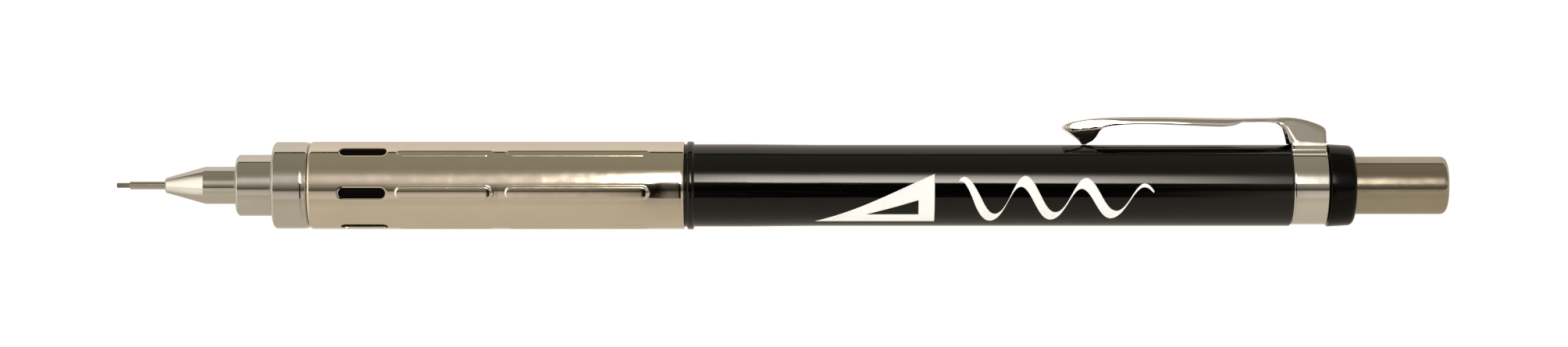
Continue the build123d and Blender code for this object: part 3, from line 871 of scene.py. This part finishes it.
# --- Clip ---
# Each section of the clip: crown X and Z, lower edge X and Z, and half width.
CLIP_SECTIONS = (
    (108.25, 4.80, 108.55, 4.86, 1.60),
    (107.60, 5.05, 108.95, 5.05, 1.80),
    (106.90, 5.55, 109.35, 5.50, 1.98),
    (106.25, 6.05, 109.60, 5.95, 2.07),
    (105.82, 6.35, 109.80, 6.25, 2.12),
    (105.70, 6.58, 110.05, 6.45, 2.14),
    (105.88, 6.85, 110.35, 6.60, 2.15),
    (106.50, 7.13, 110.80, 6.72, 2.15),
    (107.70, 7.38, 111.40, 6.80, 2.15),
    (109.20, 7.58, 112.00, 6.85, 2.15),
    (111.00, 7.70, 113.00, 6.93, 2.15),
    (113.00, 7.755, 114.50, 7.00, 2.15),
    (116.10, 7.765, 116.50, 7.00, 2.15),
    (119.60, 7.72, 119.60, 6.88, 2.15),
    (122.50, 7.66, 122.50, 6.75, 2.08),
    (124.20, 7.64, 124.20, 6.72, 1.99),
    (125.20, 7.63, 125.20, 6.90, 1.91),
    (126.00, 7.63, 126.00, 7.22, 1.84),
    (127.20, 7.64, 127.20, 7.32, 1.76),
    (128.60, 7.66, 128.60, 7.32, 1.76),
    (130.00, 7.72, 129.80, 7.18, 1.98),
    (131.20, 7.70, 130.45, 6.85, 2.14),
    (132.40, 7.56, 130.80, 6.35, 2.18),
    (133.50, 7.28, 131.05, 5.60, 2.18),
    (134.50, 6.92, 131.18, 5.10, 2.18),
    (135.08, 6.58, 131.40, 4.75, 2.18),
    (135.30, 6.20, 132.80, 4.75, 2.18),
    (135.33, 5.70, 133.90, 4.75, 2.18),
    (135.33, 5.20, 134.70, 4.75, 2.18),
    (135.33, 4.80, 135.28, 4.75, 2.18),
)
# The band starts at this section, and each section is joined to the next in this many steps.
BAND_SECTION = 25
CLIP_STEPS = 4
# Where a change along the clip begins, and over what length: (X, length).
STEM_CHANGE = (127.6, 3.8)
LEAN_CHANGE = (120.0, 5.0)
TIP_CHANGE = (113.5, 5.5)
TUCK_CHANGE = (112.5, 3.5)
SECTION_STEPS = 14
BAND_R = 4.44
BAND_FILLET = 0.35
# The stem's cheeks are flat and lean in towards the top; the tip's cheeks lean in above a crease and
# tuck in below it.
CHEEK_ROUND = 0.32
BOX_CORNER = 0.35
STEM_LEAN = 0.29
STEM_FOOT_Z = 4.75
TIP_TUCK = 0.7
TIP_LEAN = 0.15
TIP_CREASE = (106.2, 6.08)
TIP_CREASE_SLOPE = 0.12
# The tip's foot bulges down to its contact with the barrel: X and Z, reach, width and depth.
CONTACT = (107.98, 4.92)
CONTACT_REACH = 0.42
CONTACT_HALF_WIDTH = 1.1
CONTACT_DROP = 0.3
LOWEST_CONTACT = 4.63


class HOLDER_OT_clip(bpy.types.Operator):
    """Build the pocket clip: one stamping, its arm standing on the band's stem"""

    bl_idname = "holder.clip"
    bl_label = "Pocket Clip"

    def tucked(self, x, z, half_width):
        """Half width where the tip's cheeks lean in above their crease and tuck in below it."""
        crease = TIP_CREASE[1] + TIP_CREASE_SLOPE * (x - TIP_CREASE[0])
        tuck = TIP_TUCK * max(crease - z, 0) + TIP_LEAN * max(z - crease, 0)
        return max(half_width - tuck * ease((TUCK_CHANGE[0] - x) / TUCK_CHANGE[1]), 0.3)

    def domed(self, crown, edge, half_width):
        """Evenly spaced points over half a section with a domed crown, as on the arm."""
        fine = []
        steps = 160
        for k in range(steps + 1):
            turn = math.pi / 2 * k / steps
            spot = crown.lerp(edge, 1 - math.cos(turn))
            side = self.tucked(spot.x, spot.y, half_width) * math.sin(turn) ** CHEEK_ROUND
            fine.append(Vector((spot.x, side, spot.y)))
        lengths = [0.0]
        for before, after in zip(fine, fine[1:]):
            lengths.append(lengths[-1] + (after - before).length)
        half = []
        at = 0
        for k in range(SECTION_STEPS + 1):
            wanted = lengths[-1] * k / SECTION_STEPS
            while at < steps - 1 and lengths[at + 1] < wanted:
                at += 1
            share = (wanted - lengths[at]) / max(lengths[at + 1] - lengths[at], 1e-9)
            half.append(fine[at].lerp(fine[at + 1], min(share, 1.0)))
        return half

    def boxed(self, crown, edge, half_width, leaning):
        """Points over half a section with a flat back, a round corner and a flat cheek."""
        length = (edge - crown).length
        corner = min(BOX_CORNER, 0.45 * length)
        flat = half_width - corner
        path = [(flat * k / 3, 0.0) for k in range(3)]
        for k in range(7):
            turn = math.pi / 2 * k / 6
            path.append((flat + corner * math.sin(turn), corner * (1 - math.cos(turn))))
        path += [(half_width, corner + (length - corner) * k / 5) for k in range(1, 6)]
        half = []
        for side, along in path:
            spot = crown.lerp(edge, along / length)
            lean = leaning * STEM_LEAN * (spot.y - STEM_FOOT_Z)
            width = self.tucked(spot.x, spot.y, half_width) - lean
            half.append(Vector((spot.x, side * width / half_width, spot.y)))
        return half

    def section(self, crown_x, crown_z, edge_x, edge_z, half_width):
        """Points across one section of the clip, from its front edge over the crown to its rear edge."""
        crown = Vector((crown_x, crown_z))
        edge = Vector((edge_x, edge_z))
        stem = ease((crown_x - STEM_CHANGE[0]) / STEM_CHANGE[1])
        lean = ease((crown_x - LEAN_CHANGE[0]) / LEAN_CHANGE[1])
        tip = ease((TIP_CHANGE[0] - crown_x) / TIP_CHANGE[1])
        domed = self.domed(crown, edge, half_width)
        boxed = self.boxed(crown, edge, half_width, lean)
        half = [a.lerp(b, max(stem, tip)) for a, b in zip(domed, boxed)]
        front = [Vector((p.x, -p.y, p.z)) for p in reversed(half[1:])]
        return front + half

    def band_section(self, half_width):
        """Angle-ordered (Y, Z) points of the band, from the front side of the stem round underneath."""
        out = half_width + BAND_FILLET
        height = math.sqrt((BAND_R + BAND_FILLET) ** 2 - out * out)
        points = [(-half_width, STEM_FOOT_Z), (-half_width, (STEM_FOOT_Z + height) / 2)]
        join = math.atan2(height, out)
        for k in range(9):
            turn = join * k / 8
            points.append((-out + BAND_FILLET * math.cos(turn), height - BAND_FILLET * math.sin(turn)))
        low = math.degrees(join)
        sweep = 180.0 + 2 * low
        arcs = 96
        for k in range(1, arcs):
            turn = math.radians(low - sweep * k / arcs)
            points.append((-BAND_R * math.cos(turn), BAND_R * math.sin(turn)))
        return points + [(-y, z) for y, z in reversed(points[:11])]

    def execute(self, context):
        sizes = context.scene.holder_sizes
        finish = context.scene.holder_finish
        rails = smooth_path([Vector(section) for section in CLIP_SECTIONS], CLIP_STEPS)
        shape = bmesh.new()
        rows = []
        for rail in rails:
            row = []
            for spot in self.section(*rail):
                near = math.hypot(spot.x - CONTACT[0], spot.z - CONTACT[1])
                aside = spot.y / CONTACT_HALF_WIDTH
                drop = CONTACT_DROP * math.exp(-((near / CONTACT_REACH) ** 2) - aside**4)
                low = max(spot.z - drop, min(spot.z, LOWEST_CONTACT))
                row.append(shape.verts.new(Vector((spot.x - drop * 0.3, spot.y, low)) * MM))
            rows.append(row)
        skin(shape, rows)
        band = []
        start = BAND_SECTION * CLIP_STEPS
        for rail, row in zip(rails[start:], rows[start:]):
            points = self.band_section(rail[4])
            ring = [row[0]]
            ring += [shape.verts.new(Vector((rail[2], y, z)) * MM) for y, z in points[1:-1]]
            ring.append(row[-1])
            band.append(ring)
        skin(shape, band)
        bmesh.ops.recalc_face_normals(shape, faces=shape.faces)
        shape.faces.ensure_lookup_table()
        top = max(shape.faces, key=lambda face: face.calc_center_median().z)
        if top.normal.z < 0:
            bmesh.ops.reverse_faces(shape, faces=shape.faces)
        chrome = plated_metal("clip_chrome", finish.clip_chrome, 0.05, 2e-7, 1.2e-4, cloud=0.06, smear=0.03)
        piece = finish_piece("pocket_clip", shape, chrome, 60.0)
        sheet_wall(piece, sizes.sheet, 0.06 * MM)
        even_shading(piece)
        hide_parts("clip_base", "clip_arm")
        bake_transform(piece)
        return {"FINISHED"}


# --- Print ---
PRINT_LIFT = 0.012
FILM = 0.02
SQUARE_X = (77.6, 91.0)
WINDOW_X = (83.2, 89.2)
WINDOW_MARGINS = (1.25, 3.0)
FLOURISH_START = 93.8
FLOURISH_LENGTH = 21.8
FLOURISH_WAVES = 3.2
NIB = (0.26, 0.62)


class HOLDER_OT_print(bpy.types.Operator):
    """Print the generic white set square and flourish on the barrel"""

    bl_idname = "holder.print"
    bl_label = "Printed Motif"

    def strip(self, shape, left, right):
        """A strip of film between two lines of (X, height) points of the same length."""
        across = 10
        rows = []
        for a, b in zip(left, right):
            row = []
            for k in range(across + 1):
                spot = a.lerp(b, k / across)
                turn = self.middle + math.degrees(spot.y / BARREL_R)
                row.append(shape.verts.new(on_tube(spot.x, turn, BARREL_R + PRINT_LIFT)))
            rows.append(row)
        skin(shape, rows)

    def execute(self, context):
        sizes = context.scene.holder_sizes
        finish = context.scene.holder_finish
        self.middle = math.degrees(sizes.print_angle)
        high = sizes.print_height / MM / 2
        shape = bmesh.new()
        point, heel = SQUARE_X
        low, top = -high + WINDOW_MARGINS[0], high - WINDOW_MARGINS[1]
        outer = [Vector((point, -high)), Vector((heel, -high)), Vector((heel, high))]
        inner = [Vector((WINDOW_X[0], low)), Vector((WINDOW_X[1], low)), Vector((WINDOW_X[1], top))]
        for k in range(3):
            n = (k + 1) % 3
            steps = 24
            left = [outer[k].lerp(outer[n], s / steps) for s in range(steps + 1)]
            right = [inner[k].lerp(inner[n], s / steps) for s in range(steps + 1)]
            self.strip(shape, left, right)
        left = []
        right = []
        steps = 160
        for s in range(steps + 1):
            t = s / steps
            x = FLOURISH_START + FLOURISH_LENGTH * t
            wave = math.sin(2 * FLOURISH_WAVES * math.pi * t + 0.4 * math.pi)
            y = (high - 0.6) * wave * (1.0 - 0.3 * t)
            nib = Vector(NIB) * min(1.0, 7 * t + 0.3, 4 * (1 - t) + 0.15)
            left.append(Vector((x, y)) - nib)
            right.append(Vector((x, y)) + nib)
        self.strip(shape, left, right)
        bmesh.ops.remove_doubles(shape, verts=shape.verts, dist=0.001 * MM)
        bmesh.ops.recalc_face_normals(shape, faces=shape.faces)
        for face in shape.faces:
            if face.normal.dot(face.calc_center_median() * Vector((0, 1, 1))) < 0:
                face.normal_flip()
        # The ink has a painted glow: emission lights it beyond what the studio light gives it.
        ink = grainy_solid(
            "print_ink", finish.print_white, (0.84, 0.86, 0.90), 0.5, 4200.0, 6e-7, painted_glow=0.3
        )
        piece = finish_piece("printed_motif", shape, ink)
        film = piece.modifiers.new("film", "SOLIDIFY")
        film.thickness = FILM * MM
        film.offset = -1.0
        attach(piece, "barrel")
        return {"FINISHED"}


# --- Chuck spring ---
STEEL = (0.55, 0.53, 0.50)
SPRING_WIRE_R = 0.15
SPRING_PITCH = 1.0
SPRING_STEPS = 28


class HOLDER_OT_chuck_spring(bpy.types.Operator):
    """Wind the chuck's return spring, which the coupler presses together"""

    bl_idname = "holder.chuck_spring"
    bl_label = "Chuck Spring"

    def execute(self, context):
        front, back, outer = span("chuck_spring")
        mean = outer - SPRING_WIRE_R
        start = front + SPRING_WIRE_R
        turns = (back - front - 2 * SPRING_WIRE_R) / SPRING_PITCH
        steps = math.ceil(turns * SPRING_STEPS)
        sides = 10
        rise = math.atan2(SPRING_PITCH, 2 * math.pi * mean)
        shape = bmesh.new()
        rings = []
        for s in range(steps + 1):
            turn = 2 * math.pi * turns * s / steps
            outward = Vector((0, math.cos(turn), math.sin(turn)))
            onward = Vector((0, -math.sin(turn), math.cos(turn)))
            beside = Vector((math.cos(rise), 0, 0)) - onward * math.sin(rise)
            middle = Vector((start + SPRING_PITCH * turns * s / steps, 0, 0)) + outward * mean
            ring = []
            for k in range(sides):
                around = 2 * math.pi * k / sides
                arm = outward * math.cos(around) + beside * math.sin(around)
                ring.append(shape.verts.new((middle + arm * SPRING_WIRE_R) * MM))
            rings.append(ring)
        skin(shape, rings, closed=True)
        shape.faces.new(rings[0])
        shape.faces.new(rings[-1])
        bmesh.ops.recalc_face_normals(shape, faces=shape.faces)
        steel = plated_metal("spring_steel", STEEL, 0.28, 1.5e-6, 2e-4)
        piece = finish_piece("chuck_spring_coil", shape, steel)
        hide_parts("chuck_spring")
        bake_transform(piece)
        return {"FINISHED"}


# --- Inner pieces ---
class HOLDER_OT_inner_pieces(bpy.types.Operator):
    """Give the liner, the mechanism and the eraser their finishes"""

    bl_idname = "holder.inner_pieces"
    bl_label = "Inner Pieces"

    def execute(self, context):
        liner = moulded_plastic("liner_black", (0.001, 0.001, 0.001), 0.5, 1.15, dust=0.01)
        clear = moulded_plastic("tube_plastic", (0.62, 0.60, 0.54), 0.3, 1.5, dust=0.03)
        coupler = moulded_plastic("coupler_plastic", (0.35, 0.06, 0.04), 0.3, 1.5, dust=0.03)
        brass = plated_metal("brass", (0.80, 0.60, 0.28), 0.24, 2e-6, 8e-5, cloud=0.3)
        wire = plated_metal("pin_steel", STEEL, 0.28, 1.5e-6, 2e-4)
        sheet = plated_metal("ferrule_aluminium", (0.78, 0.78, 0.76), 0.3, 1.5e-6, 1.2e-4)
        graphite = grainy_solid(
            "spare_graphite", (0.025, 0.026, 0.028), (0.07, 0.072, 0.078), 0.38, 5200.0, 4e-6
        )
        bush = grainy_solid(
            "retainer_rubber", (0.02, 0.02, 0.02), (0.05, 0.05, 0.048), 0.7, 3800.0, 1e-5, sheen=0.2
        )
        rubber = grainy_solid(
            "eraser_white", (0.80, 0.79, 0.76), (0.66, 0.65, 0.62), 0.75, 3000.0, 1e-5, sheen=0.15
        )
        finishes = {
            "grip_liner": liner,
            "lead_tube": clear,
            "coupler": coupler,
            "mechanism_sleeve": brass,
            "chuck": brass,
            "clutch_ring": brass,
            "cleaning_pin": wire,
            "eraser_ferrule": sheet,
            "spare_leads": graphite,
            "lead_retainer": bush,
            "eraser": rubber,
        }
        for node, material in finishes.items():
            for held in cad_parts[node].material_slots:
                held.material = material
        return {"FINISHED"}


# --- Studio ---
# Distances in metres.
FLOOR_SIZE = 3.0
FLOOR_GAP = 0.00006
CAMERA_DISTANCE = 0.440
CAMERA_RISE = 0.00135
CAMERA_SHIFT = 0.0003
FRAME_WIDTH = 0.1777
SENSOR_WIDTH = 36.0

# Each table goes once round the bench by height, in degrees above the front horizon.
# Walls and ceiling: (angle, brightness, warmth).
WALLS_BY_HEIGHT = (
    (-180.0, 0.76, 0.08), (-160.0, 0.76, 0.08), (-140.0, 0.62, 0.12), (-120.0, 0.66, 0.14),
    (-60.0, 0.70, 0.14), (-40.0, 0.62, 0.12), (-32.0, 0.78, 0.08), (-24.0, 0.70, 0.08),
    (-17.0, 0.56, 0.08), (-14.6, 0.12, 0.16), (-11.0, 0.12, 0.16), (-6.0, 0.24, 0.16),
    (0.0, 0.38, 0.14), (6.0, 0.54, 0.06), (12.0, 0.74, 0.03), (20.0, 0.78, 0.01),
    (24.0, 0.72, 0.03), (30.0, 0.48, 0.06), (36.0, 0.37, 0.16), (44.0, 0.32, 0.18),
    (94.0, 0.36, 0.18), (96.5, 0.0, 0.18), (99.5, 0.0, 0.18), (101.5, 0.95, 0.05),
    (120.0, 0.92, 0.05), (135.0, 0.86, 0.05), (155.0, 0.76, 0.06), (180.0, 0.76, 0.08),
)
GREEN_SHARE = 0.965
# Strip light in front: (angle, share of its full strength). It leans down to the right.
STRIP_BY_HEIGHT = (
    (8.4, 0.0), (9.8, 1.0), (14.0, 0.85), (20.0, 0.72), (24.0, 0.57), (28.0, 0.42),
    (31.0, 0.16), (34.0, 0.05), (40.0, 0.0),
)
STRIP_LEAN = 0.6
# Shade that the camera and its stand throw on the walls: (angle, share of the light taken away).
SHADE_BY_HEIGHT = (
    (-112.0, 0.0), (-80.0, 0.15), (-36.0, 0.25), (-33.5, 1.0), (6.0, 1.0), (8.6, 0.0),
)
# Bright board at the left end: (angle, share of its full brightness).
BOARD_BY_HEIGHT = (
    (-150.0, 0.40), (-90.0, 0.52), (-36.0, 0.75), (-30.0, 0.52), (-24.0, 0.85), (0.0, 1.0),
    (40.0, 0.90), (72.0, 0.42), (94.0, 0.22),
)
BOARD_BRIGHTNESS = 1.9


def studio_light(finish):
    """A soft light all round, with a strip light in front and the camera's shade beneath it."""
    world = bpy.data.worlds.new("studio_light")
    world.use_nodes = True
    bpy.context.scene.world = world
    tree = world.node_tree
    tree.nodes.clear()

    way = tree.nodes.new("ShaderNodeTexCoord")
    way.label = "Direction of the light"
    parts = tree.nodes.new("ShaderNodeSeparateXYZ")
    parts.label = "Along, behind and up"
    ahead = tree.nodes.new("ShaderNodeMath")
    ahead.label = "Towards the front"
    height = tree.nodes.new("ShaderNodeMath")
    height.label = "Angle above the front horizon"
    spread = tree.nodes.new("ShaderNodeMapRange")
    spread.label = "Once round the bench"
    aside = tree.nodes.new("ShaderNodeMath")
    aside.label = "Angle to the right"
    lean = tree.nodes.new("ShaderNodeMath")
    lean.label = "Strip leaning down to the right"
    strip_spread = tree.nodes.new("ShaderNodeMapRange")
    strip_spread.label = "Once round, leaning"
    whence = (way, parts, ahead, height, spread, aside, lean, strip_spread)
    frame_nodes(tree, "Where the light comes from", -3100, 0, whence)

    walls = tree.nodes.new("ShaderNodeValToRGB")
    walls.label = "Walls and ceiling by height"
    board = tree.nodes.new("ShaderNodeMapRange")
    board.label = "Bright board at the left end"
    board_end = tree.nodes.new("ShaderNodeMapRange")
    board_end.label = "Far edge of the board"
    board_height = tree.nodes.new("ShaderNodeValToRGB")
    board_height.label = "Board by height"
    board_area = tree.nodes.new("ShaderNodeMath")
    board_area.label = "Strength of the board"
    board_width = tree.nodes.new("ShaderNodeMath")
    board_width.label = "Between the board's edges"
    walls_and_board = tree.nodes.new("ShaderNodeMix")
    walls_and_board.label = "Walls with the board"
    parts_of_board = (board, board_end, board_height, board_width, board_area)
    frame_nodes(tree, "Walls and ceiling", -1000, 900, (walls, *parts_of_board, walls_and_board))

    strip_height = tree.nodes.new("ShaderNodeValToRGB")
    strip_height.label = "Strip by height"
    left_end = tree.nodes.new("ShaderNodeMapRange")
    left_end.label = "Left end of the strip"
    right_end = tree.nodes.new("ShaderNodeMapRange")
    right_end.label = "Right end of the strip"
    strip_width = tree.nodes.new("ShaderNodeMath")
    strip_width.label = "Between its ends"
    strip_power = tree.nodes.new("ShaderNodeMath")
    strip_power.label = "Strength of the strip"
    strip = tree.nodes.new("ShaderNodeMix")
    strip.label = "Strip light"
    parts_of_strip = (strip_height, left_end, right_end, strip_width, strip_power, strip)
    frame_nodes(tree, "Strip", -1000, 500, parts_of_strip)

    shade_height = tree.nodes.new("ShaderNodeValToRGB")
    shade_height.label = "Shade by height"
    shade_left = tree.nodes.new("ShaderNodeMapRange")
    shade_left.label = "Left side of the shade"
    shade_right = tree.nodes.new("ShaderNodeMapRange")
    shade_right.label = "Right side of the shade"
    shade_width = tree.nodes.new("ShaderNodeMath")
    shade_width.label = "Between its sides"
    shade = tree.nodes.new("ShaderNodeMath")
    shade.label = "Light taken away"
    unshaded = tree.nodes.new("ShaderNodeMath")
    unshaded.label = "Light left"
    parts_of_shade = (shade_height, shade_left, shade_right, shade_width, shade, unshaded)
    frame_nodes(tree, "Shade of the camera", -1000, 100, parts_of_shade)

    shaded_walls = tree.nodes.new("ShaderNodeMix")
    shaded_walls.label = "Walls in the camera's shade"
    total = tree.nodes.new("ShaderNodeMix")
    total.label = "Walls and strip"
    warm = tree.nodes.new("ShaderNodeMix")
    warm.label = "Warmth of the lamps"
    frame_nodes(tree, "Sum of the lights", 700, 500, (shaded_walls, total, warm))

    bench = tree.nodes.new("ShaderNodeBackground")
    bench.label = "Light on the holder"
    backdrop = tree.nodes.new("ShaderNodeBackground")
    backdrop.label = "White backdrop"
    who = tree.nodes.new("ShaderNodeLightPath")
    who.label = "Seen directly or by reflection"
    choose = tree.nodes.new("ShaderNodeMixShader")
    choose.label = "Backdrop when seen directly"
    output = tree.nodes.new("ShaderNodeOutputWorld")
    output.label = "Studio"
    frame_nodes(tree, "Backdrop", 1500, 500, (bench, backdrop, who, choose))

    ahead.operation = "MULTIPLY"
    ahead.inputs[1].default_value = -1.0
    height.operation = "ARCTAN2"
    aside.operation = "ARCSINE"
    lean.operation = "MULTIPLY_ADD"
    lean.inputs[1].default_value = STRIP_LEAN
    for node in (spread, strip_spread):
        node.inputs["From Min"].default_value = -math.pi
        node.inputs["From Max"].default_value = math.pi
    tables = (
        (walls, WALLS_BY_HEIGHT, GREEN_SHARE),
        (board_height, BOARD_BY_HEIGHT, 1.0),
        (strip_height, STRIP_BY_HEIGHT, 1.0),
        (shade_height, SHADE_BY_HEIGHT, 1.0),
    )
    for node, table, green in tables:
        stops = node.color_ramp.elements
        stops.remove(stops[1])
        for angle, level, *warmth in table:
            stop = stops.new((angle + 180.0) / 360.0)
            stop.color = (level, level * green, level * (1 - sum(warmth)), 1.0)
        stops.remove(stops[0])
    smooth = (
        (left_end, -2.6, -0.6),
        (right_end, 8.5, 3.0),
        (shade_left, -2.7, -1.6),
        (shade_right, 7.6, 5.6),
        (board, -30.0, -36.0),
        (board_end, -50.0, -58.0),
    )
    for node, start, end in smooth:
        node.interpolation_type = "SMOOTHSTEP"
        node.inputs["From Min"].default_value = math.radians(start)
        node.inputs["From Max"].default_value = math.radians(end)
    board.inputs["To Max"].default_value = BOARD_BRIGHTNESS
    board_end.inputs["To Min"].default_value = BOARD_BRIGHTNESS
    board_end.inputs["To Max"].default_value = 0.0
    board_width.operation = "MINIMUM"
    board_area.operation = "MULTIPLY"
    for node in (strip_width, strip_power, shade_width, shade):
        node.operation = "MULTIPLY"
    strip_power.inputs[1].default_value = finish.strip_strength
    unshaded.operation = "SUBTRACT"
    unshaded.inputs[0].default_value = 1.0
    mixes = (
        (walls_and_board, "LIGHTEN"),
        (strip, "MULTIPLY"),
        (shaded_walls, "MULTIPLY"),
        (total, "ADD"),
        (warm, "MULTIPLY"),
    )
    for node, how in mixes:
        node.data_type = "RGBA"
        node.blend_type = how
        node.inputs["Factor"].default_value = 1.0
    warm.inputs["B"].default_value = (*finish.light_tint, 1.0)
    backdrop.inputs["Color"].default_value = (1.0, 1.0, 1.0, 1.0)
    backdrop.inputs["Strength"].default_value = 1.05

    links = tree.links
    links.new(way.outputs["Generated"], parts.inputs["Vector"])
    links.new(parts.outputs["Y"], ahead.inputs[0])
    links.new(parts.outputs["Z"], height.inputs[0])
    links.new(ahead.outputs["Value"], height.inputs[1])
    links.new(parts.outputs["X"], aside.inputs[0])
    links.new(height.outputs["Value"], spread.inputs["Value"])
    for node in (walls, board_height, shade_height):
        links.new(spread.outputs["Result"], node.inputs["Fac"])
    links.new(aside.outputs["Value"], lean.inputs[0])
    links.new(height.outputs["Value"], lean.inputs[2])
    links.new(lean.outputs["Value"], strip_spread.inputs["Value"])
    links.new(strip_spread.outputs["Result"], strip_height.inputs["Fac"])
    for node in (board, board_end, left_end, right_end, shade_left, shade_right):
        links.new(aside.outputs["Value"], node.inputs["Value"])
    links.new(walls.outputs["Color"], walls_and_board.inputs["A"])
    links.new(board.outputs["Result"], board_width.inputs[0])
    links.new(board_end.outputs["Result"], board_width.inputs[1])
    links.new(board_width.outputs["Value"], board_area.inputs[0])
    links.new(board_height.outputs["Color"], board_area.inputs[1])
    links.new(board_area.outputs["Value"], walls_and_board.inputs["B"])
    links.new(left_end.outputs["Result"], strip_width.inputs[0])
    links.new(right_end.outputs["Result"], strip_width.inputs[1])
    links.new(strip_width.outputs["Value"], strip_power.inputs[0])
    links.new(strip_height.outputs["Color"], strip.inputs["A"])
    links.new(strip_power.outputs["Value"], strip.inputs["B"])
    links.new(shade_left.outputs["Result"], shade_width.inputs[0])
    links.new(shade_right.outputs["Result"], shade_width.inputs[1])
    links.new(shade_height.outputs["Color"], shade.inputs[0])
    links.new(shade_width.outputs["Value"], shade.inputs[1])
    links.new(shade.outputs["Value"], unshaded.inputs[1])
    links.new(walls_and_board.outputs["Result"], shaded_walls.inputs["A"])
    links.new(unshaded.outputs["Value"], shaded_walls.inputs["B"])
    links.new(shaded_walls.outputs["Result"], total.inputs["A"])
    links.new(strip.outputs["Result"], total.inputs["B"])
    links.new(total.outputs["Result"], warm.inputs["A"])
    links.new(warm.outputs["Result"], bench.inputs["Color"])
    links.new(who.outputs["Is Camera Ray"], choose.inputs["Fac"])
    links.new(bench.outputs["Background"], choose.inputs[1])
    links.new(backdrop.outputs["Background"], choose.inputs[2])
    links.new(choose.outputs["Shader"], output.inputs["Surface"])


class HOLDER_OT_studio(bpy.types.Operator):
    """Set up the pale floor, the soft studio light and the camera"""

    bl_idname = "holder.studio"
    bl_label = "Studio"

    def execute(self, context):
        scene = context.scene
        scene.view_settings.view_transform = "Standard"
        low = Vector(CAD_BOX[0])
        high = Vector(CAD_BOX[1])
        middle = (low + high) / 2
        shape = bmesh.new()
        bmesh.ops.create_grid(shape, x_segments=4, y_segments=4, size=FLOOR_SIZE)
        bmesh.ops.translate(shape, verts=shape.verts, vec=(middle.x, 0, low.z - FLOOR_GAP))
        floor = finish_piece("floor", shape, floor_material())
        floor.visible_glossy = False
        floor.visible_diffuse = False
        floor.visible_shadow = False
        studio_light(scene.holder_finish)
        lens = bpy.data.cameras.new("camera")
        lens.sensor_width = SENSOR_WIDTH
        lens.lens = SENSOR_WIDTH * CAMERA_DISTANCE / FRAME_WIDTH
        lens.clip_start = 0.01
        lens.clip_end = 20.0
        camera = bpy.data.objects.new("camera", lens)
        camera.location = (middle.x + CAMERA_SHIFT, -CAMERA_DISTANCE, CAMERA_RISE)
        camera.rotation_euler = (math.radians(90.0), 0, 0)
        scene.collection.objects.link(camera)
        scene.camera = camera
        return {"FINISHED"}


class HOLDER_PT_panel(bpy.types.Panel):
    """The lead holder's pieces, in the order in which they are built"""

    bl_idname = "HOLDER_PT_panel"
    bl_label = "Lead Holder"
    bl_space_type = "VIEW_3D"
    bl_region_type = "UI"
    bl_category = "Lead Holder"

    def draw(self, context):
        layout = self.layout
        for operator in OPERATORS:
            layout.operator(operator.bl_idname)
        sizes = context.scene.holder_sizes
        for name in sizes.bl_rna.properties.keys()[2:]:
            layout.prop(sizes, name)
        finish = context.scene.holder_finish
        for name in finish.bl_rna.properties.keys()[2:]:
            layout.prop(finish, name)


OPERATORS = (
    HOLDER_OT_studio,
    HOLDER_OT_lead_and_pipe,
    HOLDER_OT_nose,
    HOLDER_OT_grip,
    HOLDER_OT_barrel,
    HOLDER_OT_print,
    HOLDER_OT_end_collar,
    HOLDER_OT_clip,
    HOLDER_OT_push_cap,
    HOLDER_OT_chuck_spring,
    HOLDER_OT_inner_pieces,
)
CLASSES = (HolderSizes, HolderFinish, *OPERATORS, HOLDER_PT_panel)


def register():
    """Register the lead holder's classes and settings."""
    for cls in CLASSES:
        bpy.utils.register_class(cls)
    bpy.types.Scene.holder_sizes = PointerProperty(type=HolderSizes)
    bpy.types.Scene.holder_finish = PointerProperty(type=HolderFinish)


def unregister():
    """Remove the lead holder's classes and settings."""
    del bpy.types.Scene.holder_finish
    del bpy.types.Scene.holder_sizes
    for cls in reversed(CLASSES):
        bpy.utils.unregister_class(cls)


def main():
    register()
    bpy.ops.holder.studio()
    bpy.ops.holder.lead_and_pipe()
    bpy.ops.holder.nose()
    bpy.ops.holder.grip()
    bpy.ops.holder.barrel()
    bpy.ops.holder.print()
    bpy.ops.holder.end_collar()
    bpy.ops.holder.clip()
    bpy.ops.holder.push_cap()
    bpy.ops.holder.chuck_spring()
    bpy.ops.holder.inner_pieces()


if __name__ == "__main__":
    main()
